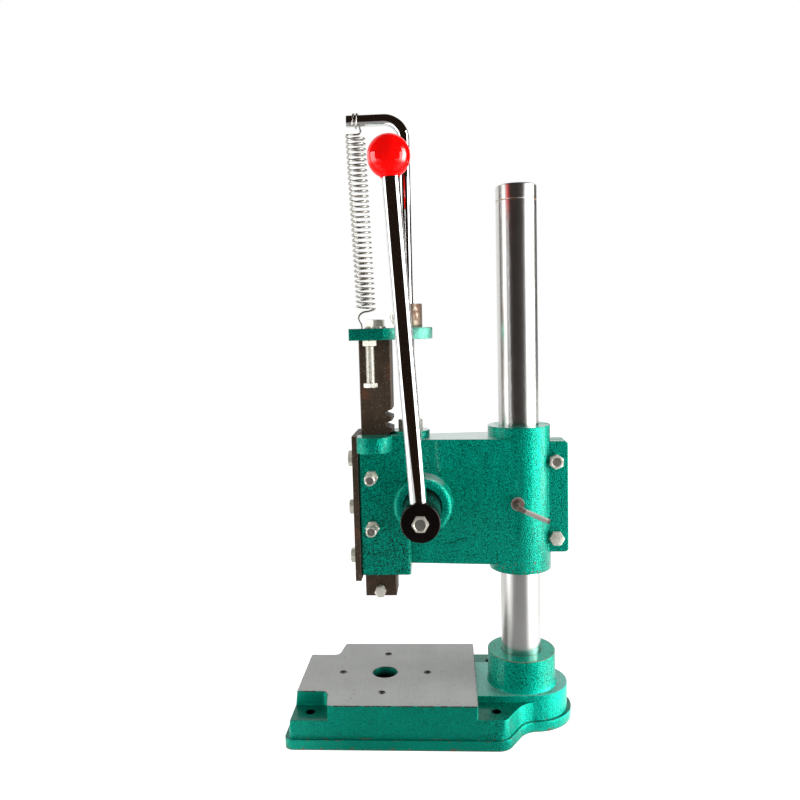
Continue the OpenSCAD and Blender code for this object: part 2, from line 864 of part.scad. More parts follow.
// Lock screw of the column clamp: a screw, a round collar and a bent handle
module lock_handle() {
    bend_r = 8;
    screw_len = clamp_r - col_d / 2 - run_gap - seat_gap;
    color("dimgray")
        translate([throat, 0, lock_z])
            rotate([90, 0, -lock_angle]) {
                translate([0, 0, clamp_r - screw_len])
                    cylinder(d = lock_d, h = screw_len + 1.5);
                translate([0, 0, clamp_r + 0.5])
                    cylinder(d = lock_collar_d, h = lock_collar_t);
                translate([0, 0, clamp_r + 0.5 + lock_collar_t - cut])
                    cylinder(d = lock_rod_d, h = lock_out + cut);
                translate([0, 0, clamp_r + 0.5 + lock_collar_t + lock_out])
                    rotate([0, 0, -lock_tilt]) {
                        translate([bend_r, 0, 0])
                            rotate([90, 0, 180])
                                rotate_extrude(angle = 90)
                                    translate([bend_r, 0])
                                        circle(d = lock_rod_d);
                        translate([bend_r, 0, bend_r])
                            rotate([0, 90, 0])
                                cylinder(d = lock_rod_d, h = lock_reach - bend_r);
                    }
            }
}

// Post bent to a cross bar at its top
module spring_post() {
    bend_z = post_z - post_bend_r;
    bend_x = post_x - post_bend_r;
    color("whitesmoke") {
        translate([post_x, 0, post_foot])
            cylinder(d = post_d, h = bend_z - post_foot);
        translate([bend_x, 0, bend_z])
            rotate([90, 0, 0])
                rotate_extrude(angle = 90)
                    translate([post_bend_r, 0])
                        circle(d = post_d);
        x_cylinder(-post_overhang, bend_x, 0, post_z, post_d / 2);
    }
}

module post_lock_nut() {
    color("silver")
        translate([post_x, 0, post_boss_top])
            hex_nut(post_nut_hex, post_nut_h, post_d + 2 * slack);
}

module stop_collar() {
    color("sienna")
        difference() {
            translate([post_x, 0, plate_z1 + seat_gap])
                cylinder(d = stop_collar_d, h = stop_collar_h);
            translate([post_x, 0, plate_z1])
                cylinder(d = post_d + 2 * slack, h = stop_collar_h + 2);
            translate([post_x, 0, plate_z1 + collar_screw_rise])
                rotate([90, 0, -collar_screw_angle])
                    cylinder(d = collar_screw_d + 2 * slack, h = stop_collar_d);
        }
}

module stop_collar_screw() {
    neck = 4;
    shank = stop_collar_d / 2 + neck - post_d / 2 - seat_gap - 0.8;
    color("silver")
        translate([post_x, 0, plate_z1 + collar_screw_rise])
            rotate([90, 0, -collar_screw_angle])
                translate([0, 0, stop_collar_d / 2 + neck])
                    hex_bolt(collar_screw_d, shank, collar_screw_hex, 8);
}

// Middle line of the spring wire: lower hook, curls, upper hook and the eye round the cross bar
function bezier(p, t) =
    pow(1 - t, 3) * p[0] + 3 * pow(1 - t, 2) * t * p[1]
    + 3 * (1 - t) * pow(t, 2) * p[2] + pow(t, 3) * p[3];

// Rings of a curve between its ends, which belong to the pieces beside it
function between(p) = [for (i = [1 : blend_rings - 1]) bezier(p, i / blend_rings)];

// A point of the curls after so many turns from the lowest one
function curl_point(turn) =
    let (t = turn / curl_turns, axis = coil_low + t * (coil_high - coil_low),
         a = curl_start + 360 * turn)
    axis + [coil_r * cos(a), coil_r * sin(a), 0];

function curl_direction(turn) = unit(curl_point(turn + 0.01) - curl_point(turn - 0.01));

// A point of the eye; it goes up behind the bar, over it and down in front
function eye_point(turn) =
    let (a = eye_start + 360 * turn)
    [eye_x0 + (eye_x1 - eye_x0) * turn / eye_turns, eye_r * cos(a), post_z + eye_r * sin(a)];

function eye_direction(turn) = unit(eye_point(turn + 0.01) - eye_point(turn - 0.01));

curl_rings = floor(curl_turns * rings_per_curl);
eye_rings = floor(eye_turns * eye_rings_per_turn);
curl_end = curl_point(curl_turns);

wire_path = concat(
    [hook_foot, hook_top],
    between([hook_top, hook_top + [0, 0, 4.5], low_bulge - [0, 0, 4.5], low_bulge]),
    [low_bulge],
    between([low_bulge, low_bulge + [0, 0, 5], low_centre - [5.5, 0, 0], low_centre]),
    [low_centre],
    between([low_centre, low_centre + [5, 0, 0], curl_point(0) - 5 * curl_direction(0),
        curl_point(0)]),
    [for (i = [0 : curl_rings]) curl_point(i * curl_turns / curl_rings)],
    between([curl_end, curl_end + 4.5 * curl_direction(curl_turns), high_centre - [6, 0, 0],
        high_centre]),
    [high_centre],
    between([high_centre, high_centre + [4.5, 0, 0], high_bulge - [0, 0, 3.5], high_bulge]),
    [high_bulge],
    between([high_bulge, high_bulge + [0, 0, 3], eye_point(0) - 3 * eye_direction(0),
        eye_point(0)]),
    [for (i = [0 : eye_rings]) eye_point(i * eye_turns / eye_rings)],
    [eye_point(eye_turns) + wire_d * eye_direction(eye_turns)]);

// Least gap of the wire to itself, past the rings that follow each other round one bend
function wire_gap(path, skip) = min([
    for (i = [0 : len(path) - 1 - skip], j = [i + skip : min(i + skip + 16, len(path) - 1)])
        norm(path[i] - path[j])]) - wire_d;

echo(least_wire_gap = wire_gap(wire_path, 5));

function unit(v) = v / norm(v);
function flat_part(v, n) = v - (v * n) * n;

function wire_tangent(path, i) =
    unit(path[min(i + 1, len(path) - 1)] - path[max(i - 1, 0)]);

// Frames carried along the path without twist
function carried_sides(path) = [
    for (i = 0, side = [0, 1, 0]; i < len(path);
        i = i + 1,
        side = i < len(path) ? unit(flat_part(side, wire_tangent(path, i))) : side)
        unit(flat_part(side, wire_tangent(path, i)))];

// A tube of even thickness round a path, as one closed mesh of triangles
module wire_tube(path, r, sides) {
    across = carried_sides(path);
    count = len(path);
    points = [for (i = [0 : count - 1], k = [0 : sides - 1])
        let (t = wire_tangent(path, i), u = across[i], v = cross(t, u), a = 360 * k / sides)
        path[i] + r * (cos(a) * u + sin(a) * v)];
    walls = [for (i = [0 : count - 2], k = [0 : sides - 1])
        let (a = i * sides + k, b = i * sides + (k + 1) % sides)
        each [[a, b + sides, b], [a, a + sides, b + sides]]];
    low_cap = [for (k = [1 : sides - 2]) [0, k, k + 1]];
    high_cap = [for (k = [1 : sides - 2])
        [(count - 1) * sides, (count - 1) * sides + k + 1, (count - 1) * sides + k]];
    polyhedron(points = points, faces = concat(walls, low_cap, high_cap));
}

module return_spring() {
    color("silver")
        wire_tube(wire_path, wire_d / 2, wire_sides);
}

// Gaps between the rack teeth in the ram's right face
module rack_gaps() {
    first = -floor(rack_below / tooth_pitch);
    last = floor(rack_above / tooth_pitch);
    half_gap = tooth_pitch / 4 + backlash / 4;
    low = half_gap - tooth_root * tan(pressure_angle);
    high = half_gap + (tooth_top + cut) * tan(pressure_angle);
    pitch_x = ram_half - tooth_top;
    for (i = [first : last])
        translate([0, ram_half + cut, pinion_z + rack_phase + i * tooth_pitch])
            rotate([90, 0, 0])
                linear_extrude(ram_w + 2 * cut)
                    polygon([
                        [pitch_x - tooth_root, -low],
                        [pitch_x + tooth_top + cut, -high],
                        [pitch_x + tooth_top + cut, high],
                        [pitch_x - tooth_root, low]]);
}

module ram() {
    color([0.3, 0.25, 0.2])
        difference() {
            translate([0, 0, ram_z0])
                linear_extrude(ram_len)
                    polygon([
                        [-ram_half + ram_edge, -ram_half], [ram_half - ram_edge, -ram_half],
                        [ram_half, -ram_half + ram_edge], [ram_half, ram_half - ram_edge],
                        [ram_half - ram_edge, ram_half], [-ram_half + ram_edge, ram_half],
                        [-ram_half, ram_half - ram_edge], [-ram_half, -ram_half + ram_edge]]);
            rack_gaps();
            translate([0, 0, ram_z0 - cut])
                cylinder(d = tool_hole_d, h = tool_hole_depth + cut);
            y_cylinder(0, -ram_half - cut, 0, ram_z0 + tool_screw_rise, tool_screw_d / 2 + slack);
            translate([0, 0, ram_z1 - 34])
                cylinder(d = crosshead_bolt_d + 2 * slack, h = 34 + cut);
        }
}

module crosshead_plate() {
    neck_x = post_x - 32;
    end_x = post_x + 3;
    color("seagreen")
        difference() {
            translate([0, 0, plate_z0])
                linear_extrude(plate_t) {
                    polygon([
                        [-plate_left, -plate_w / 2], [neck_x, -plate_w / 2],
                        [end_x, -plate_end_r + 0.2], [end_x, plate_end_r - 0.2],
                        [neck_x, plate_w / 2], [-plate_left, plate_w / 2]]);
                    translate([end_x, 0])
                        circle(r = plate_end_r);
                }
            translate([post_x, 0, plate_z0 - cut])
                cylinder(d = post_d + 2 * plate_hole_gap, h = plate_t + 2 * cut);
            translate([0, 0, plate_z0 - cut])
                cylinder(d = crosshead_bolt_d + 1, h = plate_t + 2 * cut);
            translate([stop_bolt_x, -stop_bolt_y, plate_z0 - cut])
                cylinder(d = stop_bolt_d + 2 * run_gap, h = plate_t + 2 * cut);
            translate([hook_x, 0, plate_z0 - cut])
                cylinder(r = hook_hole_r, h = plate_t + 2 * cut);
        }
}

module crosshead_bolt() {
    color("silver")
        translate([0, 0, plate_z1 + crosshead_washer_t])
            hex_bolt(crosshead_bolt_d, plate_t + crosshead_washer_t + 28, crosshead_bolt_hex,
                crosshead_bolt_head_h);
}

module crosshead_washer() {
    color("silver")
        translate([0, 0, plate_z1])
            difference() {
                cylinder(d = crosshead_washer_d, h = crosshead_washer_t);
                translate([0, 0, -cut])
                    cylinder(d = crosshead_bolt_d + 1, h = crosshead_washer_t + 2 * cut);
            }
}

module stop_bolt() {
    shank = plate_z1 - stop_bolt_head_z - stop_bolt_head_h + 2;
    color("silver")
        translate([stop_bolt_x, -stop_bolt_y, stop_bolt_head_z + stop_bolt_head_h])
            rotate([180, 0, 0])
                hex_bolt(stop_bolt_d, shank, stop_bolt_hex, stop_bolt_head_h);
}

module stop_bolt_nut() {
    color("silver")
        translate([stop_bolt_x, -stop_bolt_y, plate_z0 - stop_nut_h])
            hex_nut(stop_bolt_hex, stop_nut_h, stop_bolt_d + 2 * run_gap);
}

module tool_clamp_screw() {
    head_h = 6;
    color("silver")
        translate([0, -ram_half - tool_screw_out + head_h, ram_z0 + tool_screw_rise])
            rotate([90, 0, 0])
                hex_bolt(tool_screw_d, tool_screw_out - head_h + 8, tool_screw_hex, head_h);
}

// Flank of an involute tooth: radius and angle from the tooth's middle
function flank_point(r) =
    let (base_r = pitch_r * cos(pressure_angle),
         t = sqrt(max(pow(r / base_r, 2) - 1, 0)),
         t0 = tan(pressure_angle),
         turn = (t - t0) * 180 / PI - (atan(t) - pressure_angle),
         half = 90 / pinion_teeth - backlash / 4 / pitch_r * 180 / PI)
    [r, half - turn];

function polar(p, offset_angle, sign) =
    [p[0] * cos(offset_angle + sign * p[1]), p[0] * sin(offset_angle + sign * p[1])];

module gear_outline() {
    steps = 5;
    base_r = pitch_r * cos(pressure_angle);
    low_r = max(base_r, root_r) + 0.01;
    radii = [for (i = [0 : steps]) low_r + (tip_r - low_r) * i / steps];
    tooth_turn = 360 / pinion_teeth;
    polygon([
        for (n = [0 : pinion_teeth - 1])
            let (mid = n * tooth_turn)
            each concat(
                [polar([root_r, flank_point(low_r)[1]], mid, -1)],
                [for (r = radii) polar(flank_point(r), mid, -1)],
                [for (i = [steps : -1 : 0]) polar(flank_point(radii[i]), mid, 1)],
                [polar([root_r, flank_point(low_r)[1]], mid, 1)])]);
}

module pinion_gear() {
    color("dimgray")
        translate([pinion_x, pinion_face / 2, pinion_z])
            rotate([90, 0, 0])
                difference() {
                    rotate([0, 0, gear_turn])
                        linear_extrude(pinion_face)
                            gear_outline();
                    translate([0, 0, -cut])
                        cylinder(r = shaft_r + slack, h = pinion_face + 2 * cut);
                    box([-key_w / 2 - slack, 0, -cut],
                        [key_w / 2 + slack, shaft_r + key_h / 2 + slack, pinion_face + cut]);
                }
}

module pinion_key() {
    color("gray")
        translate([pinion_x, 0, pinion_z])
            box([-key_w / 2, -pinion_face / 2 + 1, shaft_r - key_h / 2],
                [key_w / 2, pinion_face / 2 - 1, shaft_r + key_h / 2]);
}

module hub_key() {
    color("gray")
        translate([pinion_x, 0, pinion_z])
            box([-key_w / 2, hub_key_y - hub_key_len, shaft_r - key_h / 2],
                [key_w / 2, hub_key_y, shaft_r + key_h / 2]);
}

module pinion_shaft() {
    color("gray")
        difference() {
            y_cylinder(pinion_x, -shaft_front, shaft_back, pinion_z, shaft_r);
            translate([pinion_x, 0, pinion_z]) {
                box([-key_w / 2 - slack, -pinion_face / 2 + 1 - slack, shaft_r - key_h / 2 - slack],
                    [key_w / 2 + slack, pinion_face / 2 - 1 + slack, shaft_r + cut]);
                box([-key_w / 2 - slack, hub_key_y - hub_key_len - slack,
                    shaft_r - key_h / 2 - slack],
                    [key_w / 2 + slack, hub_key_y + slack, shaft_r + cut]);
            }
            y_cylinder(pinion_x, -shaft_front - cut, -shaft_front + 27, pinion_z,
                hub_bolt_d / 2 + slack);
        }
}

module lever_hub() {
    edge = 1.2;
    color([0.08, 0.07, 0.07])
        difference() {
            translate([pinion_x, 0, pinion_z])
                rotate([90, 0, 0]) {
                    translate([0, 0, hub_back])
                        cylinder(d = hub_d, h = hub_reach - hub_back - edge);
                    translate([0, 0, hub_reach - edge])
                        cylinder(d1 = hub_d, d2 = hub_d - 2 * edge, h = edge);
                }
            translate([pinion_x, 0, pinion_z]) {
                rotate([90, 0, 0]) {
                    translate([0, 0, hub_back - cut])
                        cylinder(r = shaft_r + slack, h = shaft_front - hub_back + cut);
                    cylinder(d = hub_bolt_d + 2 * slack, h = hub_reach + cut);
                }
                box([-key_w / 2 - slack, hub_key_y - hub_key_len - slack, 0],
                    [key_w / 2 + slack, -hub_back + cut, shaft_r + key_h / 2 + slack]);
            }
            on_lever(lever_inner - seat_gap)
                cylinder(d = lever_d + 2 * slack, h = hub_d);
        }
}

module hub_bolt() {
    color("silver")
        translate([pinion_x, -hub_reach, pinion_z])
            rotate([90, 0, 0])
                hex_bolt(hub_bolt_d, hub_reach - shaft_front + 24, hub_bolt_hex,
                    hub_bolt_head_h, 6.4);
}

// Puts a shape on the lever's axis, so far out from the pinion axis
module on_lever(out) {
    translate([pinion_x, -lever_y, pinion_z])
        rotate([0, -lever_lean, 0])
            translate([-lever_aside, 0, out])
                children();
}

module lever_bar() {
    bar_end = lever_len - ball_d / 2 + ball_bore_depth;
    color("whitesmoke")
        on_lever(lever_inner)
            cylinder(d = lever_d, h = bar_end - lever_inner);
}

module ball_knob() {
    color("red")
        on_lever(lever_len)
            difference() {
                sphere(d = ball_d);
                translate([0, 0, -ball_d / 2 - cut])
                    cylinder(d = lever_d + 2 * slack, h = ball_bore_depth + seat_gap + cut);
            }
}

module rear_collar() {
    color("dimgray")
        translate([pinion_x, 0, pinion_z])
            rotate([-90, 0, 0])
                translate([0, 0, hub_back])
                    difference() {
                        cylinder(r = bush_flange_r - 1, h = rear_collar_t);
                        translate([0, 0, -cut])
                            cylinder(r = shaft_r + slack, h = rear_collar_t + 2 * cut);
                        translate([0, 0, rear_collar_t / 2])
                            rotate([90, 0, 0])
                                cylinder(d = rear_screw_d + 2 * slack, h = hub_d);
                    }
}

module rear_collar_screw() {
    color("black")
        translate([pinion_x, hub_back + rear_collar_t / 2, pinion_z + shaft_r + seat_gap])
            difference() {
                cylinder(d = rear_screw_d, h = bush_flange_r - 1 - shaft_r - seat_gap - 0.5);
                translate([0, 0, 4])
                    cylinder(d = rear_screw_hex, h = hub_d, $fn = 6);
            }
}

base_casting();
column();
head_casting();
cover_plate();
cover_bolts();
gib_strip();
gib_screws();
gib_lock_nuts();
front_bush();
rear_bush();
clamp_bolts();
clamp_washers();
clamp_nuts();
lock_handle();
spring_post();
post_lock_nut();
stop_collar();
stop_collar_screw();
return_spring();
ram();
crosshead_plate();
crosshead_bolt();
crosshead_washer();
stop_bolt();
stop_bolt_nut();
tool_clamp_screw();
pinion_shaft();
pinion_gear();
pinion_key();
lever_hub();
hub_key();
hub_bolt();
lever_bar();
ball_knob();
rear_collar();
rear_collar_screw();
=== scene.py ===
import math

import bmesh
import bpy
from mathutils import Matrix, Vector


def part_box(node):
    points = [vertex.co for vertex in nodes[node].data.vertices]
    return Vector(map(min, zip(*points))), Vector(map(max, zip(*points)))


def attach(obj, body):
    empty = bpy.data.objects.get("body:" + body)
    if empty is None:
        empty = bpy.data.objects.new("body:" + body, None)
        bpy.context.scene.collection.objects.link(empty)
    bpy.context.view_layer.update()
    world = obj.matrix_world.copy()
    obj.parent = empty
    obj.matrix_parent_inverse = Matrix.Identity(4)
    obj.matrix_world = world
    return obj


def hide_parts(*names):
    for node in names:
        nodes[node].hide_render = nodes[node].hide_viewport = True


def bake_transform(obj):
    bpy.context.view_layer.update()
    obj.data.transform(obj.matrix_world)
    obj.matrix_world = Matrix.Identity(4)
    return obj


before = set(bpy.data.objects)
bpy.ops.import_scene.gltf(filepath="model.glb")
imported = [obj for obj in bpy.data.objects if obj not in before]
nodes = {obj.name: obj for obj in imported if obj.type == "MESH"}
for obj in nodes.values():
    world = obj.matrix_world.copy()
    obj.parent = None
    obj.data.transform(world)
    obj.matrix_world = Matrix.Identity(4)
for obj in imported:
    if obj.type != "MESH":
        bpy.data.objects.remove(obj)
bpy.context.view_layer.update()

# The studio. White paper lies under the press and hangs behind it, and a dark, brownish room is in
# front. Two soft boxes and a window at the right light it, and the camera stands before it.


class Link:
    """A socket of a finish. Sums on it add Math nodes, and node() adds any other node."""

    def __init__(self, tree, socket):
        self.tree = tree
        self.socket = socket

    def node(self, kind, settings=None, sockets=None, out=0):
        made = self.tree.nodes.new(kind)
        for name, value in (settings or {}).items():
            setattr(made, name, value)
        for name, value in (sockets or {}).items():
            if isinstance(value, Link):
                self.tree.links.new(value.socket, made.inputs[name])
            elif isinstance(value, tuple) and len(value) == 3 and made.inputs[name].type == "RGBA":
                made.inputs[name].default_value = (*value, 1.0)
            else:
                made.inputs[name].default_value = value
        return Link(self.tree, made.outputs[out]) if made.outputs else self

    def sum(self, operation, first, second):
        return self.node("ShaderNodeMath", {"operation": operation}, {0: first, 1: second})

    def __add__(self, other):
        return self.sum("ADD", self, other)

    def __radd__(self, other):
        return self.sum("ADD", other, self)

    def __sub__(self, other):
        return self.sum("SUBTRACT", self, other)

    def __rsub__(self, other):
        return self.sum("SUBTRACT", other, self)

    def __mul__(self, other):
        return self.sum("MULTIPLY", self, other)

    def __rmul__(self, other):
        return self.sum("MULTIPLY", other, self)

    def __truediv__(self, other):
        return self.sum("DIVIDE", self, other)

    def __pow__(self, other):
        return self.sum("POWER", self, other)

    def __abs__(self):
        return self.node("ShaderNodeMath", {"operation": "ABSOLUTE"}, {0: self})

    def part(self, axis):
        """One of the three numbers of a place or a direction."""
        return self.node("ShaderNodeSeparateXYZ", {}, {0: self}, out="XYZ".index(axis))


def rise(value, low, high):
    """0 below low, 1 above high, and smooth between them."""
    return value.node(
        "ShaderNodeMapRange",
        {"interpolation_type": "SMOOTHSTEP"},
        {"Value": value, "From Min": low, "From Max": high, "To Min": 0.0, "To Max": 1.0},
    )


def shade(mask, low, high):
    """A colour that goes from low to high with the mask."""
    return mask.node("ShaderNodeMix", {"data_type": "RGBA"}, {0: mask, 6: low, 7: high}, out=2)


room = bpy.data.worlds.new("room")
bpy.context.scene.world = room
room.use_nodes = True
room.node_tree.nodes.clear()
toward = Link(room.node_tree, room.node_tree.nodes.new("ShaderNodeTexCoord").outputs["Generated"])
seen = toward.node("ShaderNodeLightPath", out="Is Camera Ray")
mirrored = toward.node("ShaderNodeLightPath", out="Is Glossy Ray")

# The press mirrors a white wall behind it, up to a certain height, and a dark room all round. Its
# dull faces are lit evenly, and the camera sees nothing but white.
room_dark, room_fill = 0.009, 0.8
dark_tone = (1.5, 0.8, 0.5)
wall_x, wall_y = -0.334, 0.943
across, backward, upward = toward.part("X"), toward.part("Y"), toward.part("Z")
to_wall = (across * wall_x + backward * wall_y) / (across * across + backward * backward) ** 0.5
paper_wall = rise(to_wall, 0.68, 0.74) * (1 - rise(upward, 0.72, 0.86))
in_mirror = paper_wall * (1 - room_dark) + room_dark
strength = seen + (1 - seen) * (mirrored * in_mirror + (1 - mirrored) * room_fill)
in_room = (1 - seen) * mirrored * (1 - paper_wall)
lit = toward.node("ShaderNodeBackground", {}, {
    "Color": shade(in_room, (1.0, 1.0, 1.0), dark_tone), "Strength": strength})
lit.node("ShaderNodeOutputWorld", {}, {"Surface": lit})

floor_mesh = bpy.data.meshes.new("floor")
floor_back, floor_front, floor_side, floor_z = 5.0, -1.35, 4.0, -0.0003
floor_mesh.from_pydata(
    [(-floor_side, floor_front, floor_z), (floor_side, floor_front, floor_z),
     (floor_side, floor_back, floor_z), (-floor_side, floor_back, floor_z)],
    [], [(0, 1, 2, 3)])
floor = bpy.data.objects.new("floor", floor_mesh)
bpy.context.scene.collection.objects.link(floor)


def new_finish(name):
    """An empty finish and the place of each of its points, in the frame of the press."""
    finish = bpy.data.materials.new(name)
    finish.use_nodes = True
    finish.node_tree.nodes.clear()
    places = finish.node_tree.nodes.new("ShaderNodeTexCoord").outputs["Object"]
    return finish, Link(finish.node_tree, places)


def noise(place, scale, detail=2.0, roughness=0.5):
    """Cloudy values between 0 and 1."""
    return place.node("ShaderNodeTexNoise", {}, {
        "Vector": place, "Scale": scale, "Detail": detail, "Roughness": roughness})


# Mirrored in the press, the floor has a dark strip that widens towards the camera
floor_finish, place = new_finish("floor_paper")
paper_seen = place.node("ShaderNodeLightPath", out="Is Camera Ray")
paper_mirrored = place.node("ShaderNodeLightPath", out="Is Glossy Ray")
strip_x = 0.1
aside, back = abs(place.part("X") - strip_x), place.part("Y")
in_front = (1 - rise(back, -0.12, 0.0)) * (1 - rise(aside + back * 0.6, 0.04, 0.2))
paper_tone = shade(noise(place, 60.0), (0.86, 0.86, 0.86), (0.9, 0.9, 0.9))
paper = place.node("ShaderNodeBsdfDiffuse", {}, {
    "Color": shade(paper_mirrored * in_front, paper_tone, (0.2, 0.2, 0.2))})
paper_glow = place.node("ShaderNodeEmission", {}, {"Color": (1.0, 1.0, 1.0), "Strength": 1.43})
glow_share = paper_seen * 0.6 + paper_mirrored * 0.06
floor_shader = place.node("ShaderNodeMixShader", {}, {0: glow_share, 1: paper, 2: paper_glow})
place.node("ShaderNodeOutputMaterial", {}, {"Surface": floor_shader})
floor_mesh.materials.append(floor_finish)

# Two soft boxes near the press and a window far to the right: where each stands, how wide and
# tall it is, and how bright it glows
for name, x, y, z, width, height, glare in (
        ("right_box", 0.575, -0.175, 0.46, 0.43, 0.86, 2.6),
        ("left_box", -0.37, -0.15, 0.46, 0.24, 0.86, 2.2),
        ("far_window", 1.6, -0.05, 0.92, 0.7, 1.8, 6.0)):
    lamp = bpy.data.lights.new(name, "AREA")
    lamp.shape = "RECTANGLE"
    lamp.size = width
    lamp.size_y = height
    lamp.energy = glare * math.pi * width * height
    box = bpy.data.objects.new(name, lamp)
    box.rotation_euler = Vector((x, 0.0, 0.0)).to_track_quat("Z", "Y").to_euler()
    box.location = (x, y, z)
    box.visible_camera = False
    bpy.context.scene.collection.objects.link(box)

# The camera's place, turn and focal length were fitted to the photo
yaw, pitch, roll = 0.0640, 0.0918, 0.0262
camera_x, camera_y, camera_z = 0.09979, -1.05461, 0.55648
focal_px, picture_px, sensor_mm = 748.27, 800, 36.0
turn = Matrix.Rotation(yaw, 3, "Z") @ Matrix.Rotation(-pitch, 3, "X") @ Matrix.Rotation(roll, 3, "Y")
right, ahead, up = (turn @ Vector(axis) for axis in ((1, 0, 0), (0, 1, 0), (0, 0, 1)))
camera = bpy.data.objects.new("camera", bpy.data.cameras.new("camera"))
camera.matrix_world = Matrix((
    (right.x, up.x, -ahead.x, camera_x),
    (right.y, up.y, -ahead.y, camera_y),
    (right.z, up.z, -ahead.z, camera_z),
    (0.0, 0.0, 0.0, 1.0)))
camera.data.sensor_width = sensor_mm
camera.data.lens = focal_px / picture_px * sensor_mm
camera.data.clip_start, camera.data.clip_end = 0.05, 50.0
bpy.context.scene.collection.objects.link(camera)
bpy.context.scene.camera = camera
bpy.context.scene.view_settings.view_transform = "Standard"

# The base casting. Grey iron, sprayed with a green hammer-tone paint. The table is ground bright
# after painting, and the paint has worn to rust along the lower edges and the collar's rim. Four
# holes in the table are tapped.
table_z, table_end_x = 0.058, 0.132
skirt_z, pad_z = 0.014, 0.040
collar_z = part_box("base_casting")[1].z
foot_hole_r, foot_middle_x, foot_half_x, foot_half_y = 0.0065, 0.030, 0.127, 0.0785
die_hole_r = 0.018
tapped_r, tapped_circle_r = 0.005, 0.062


def stretched(place, x, y, z):
    """The same place, scaled along each axis, for marks that run one way."""
    return place.node("ShaderNodeVectorMath", {"operation": "MULTIPLY"}, {0: place, 1: (x, y, z)})


def soft_edges(place, radius):
    """The normal of a piece whose edges are rounded this much."""
    return place.node("ShaderNodeBevel", {"samples": 6}, {"Radius": radius})


def edge_mask(rounded):
    """1 along the outer and inner edges of a piece, and 0 on its faces."""
    flat = rounded.node("ShaderNodeNewGeometry", out="Normal")
    same = rounded.node("ShaderNodeVectorMath", {"operation": "DOT_PRODUCT"}, {
        0: rounded, 1: flat}, out="Value")
    return rise(1 - same, 0.01, 0.12)


def facing_up(place, low, high):
    """1 on faces that look up, and 0 on upright ones."""
    return rise(place.node("ShaderNodeNewGeometry", out="Normal").part("Z"), low, high)


def bumps(place, height, distance, on=None):
    """Relief of this height, on the plain surface or on a rounded normal."""
    sockets = {"Height": height, "Distance": distance}
    if on:
        sockets["Normal"] = on
    return place.node("ShaderNodeBump", {}, sockets)


def surface(place, **sockets):
    """Ends a finish in one shader with these sockets."""
    named = {name.replace("_", " "): value for name, value in sockets.items()}
    shader = place.node("ShaderNodeBsdfPrincipled", {}, named)
    place.node("ShaderNodeOutputMaterial", {}, {"Surface": shader})


def hammer_paint(place, contrast):
    """Colour and relief of the green hammer-tone paint."""
    dark_green, light_green = (0.0, 0.08, 0.055), (0.0, 0.62, 0.43)
    dimples = noise(place, 760.0, 0.0)
    grit = noise(place, 1500.0, 0.0)
    broad = noise(place, 24.0, 3.0)
    relief = dimples + grit * 0.25
    flake = rise(dimples * 0.75 + grit * 0.25, 0.36, 0.64) - 0.5
    colour = shade(0.5 + flake * contrast + (broad - 0.5) * 0.25, dark_green, light_green)
    return colour, relief


def dress(node, finish):
    """Puts a finish on a CAD node."""
    mesh = nodes[node].data
    mesh.materials.clear()
    mesh.materials.append(finish)


def ease_edges(node, width):
    """Breaks the sharp edges of a CAD node with a small round."""
    weld = nodes[node].modifiers.new("joined", "WELD")
    weld.merge_threshold = 1e-6
    bevel = nodes[node].modifiers.new("round", "BEVEL")
    bevel.width = width
    bevel.segments = 2
    bevel.limit_method = "ANGLE"
    bevel.angle_limit = math.radians(35)
    bevel.harden_normals = True
    bevel.miter_outer = "MITER_ARC"


def skin(shape, rings, stand=Matrix(), crisp_from=0, ring_shut=False, end_finish=0):
    """Adds one closed body that runs through these rings of points. It is flat at both ends, or
    its last ring meets its first. Its edges are sharp from the ring crisp_from on. Its last face
    may wear another finish of the piece."""
    rows = [[shape.verts.new(stand @ Vector(point)) for point in ring] for ring in rings]
    if not ring_shut:
        shape.faces.new(rows[0][::-1])
        shape.faces.new(rows[-1]).material_index = end_finish
    for low, high in zip(rows, rows[1:] + rows[:1] if ring_shut else rows[1:]):
        for i in range(len(low)):
            j = (i + 1) % len(low)
            shape.faces.new((low[i], low[j], high[j], high[i]))
    for face in {face for row in rows for vertex in row for face in vertex.link_faces}:
        face.smooth = True
        face.normal_update()
    for row in rows[crisp_from:]:
        for vertex in row:
            for edge in vertex.link_edges:
                edge.smooth = edge.calc_face_angle(0.0) < math.radians(28)


def piece(name, shape, finishes, slot, body, *replaced):
    """Makes a piece of this shape that rides on a body and stands for the replaced CAD nodes."""
    mesh = bpy.data.meshes.new(name)
    shape.to_mesh(mesh)
    shape.free()
    for finish in finishes:
        mesh.materials.append(finish)
    made = bpy.data.objects.new(name, mesh)
    bpy.context.scene.collection.objects.link(made)
    if body:
        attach(made, body)
    if replaced:
        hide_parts(*replaced)
    return made


base_paint, place = new_finish("base_paint")
x, y, z = (place.part(axis) for axis in "XYZ")
colour, relief = hammer_paint(place, contrast=0.3 + 0.55 * rise(x, 0.13, 0.16))
rounded = soft_edges(place, 0.0028)
edges = edge_mask(rounded)
faces_up = facing_up(place, 0.8, 0.95)
painted_shade_green, painted_light_green = (0.0, 0.03, 0.02), (0.0, 0.9, 0.68)

# Painted shadow darkens the floors of the corner pads, a painted sheen whitens the deck, and painted
# light brightens the lobe
pad_floor_shade = faces_up * (1 - rise(z, pad_z + 0.0015, pad_z + 0.003))
colour = shade(pad_floor_shade * 0.6, colour, painted_shade_green)
# Painted sheen: a pale colour on the deck's upward faces
deck_sheen = faces_up * (1 - pad_floor_shade) * (1 - rise(z, 0.06, 0.07))
colour = shade(deck_sheen * 0.22, colour, (0.65, 0.88, 0.95))
# Painted light on the lobe's walls at the right
lobe_light = rise(x, 0.15, 0.19) * (1 - rise(z, 0.05, 0.06)) * (1 - faces_up)
colour = shade(lobe_light * 0.3, colour, painted_light_green)

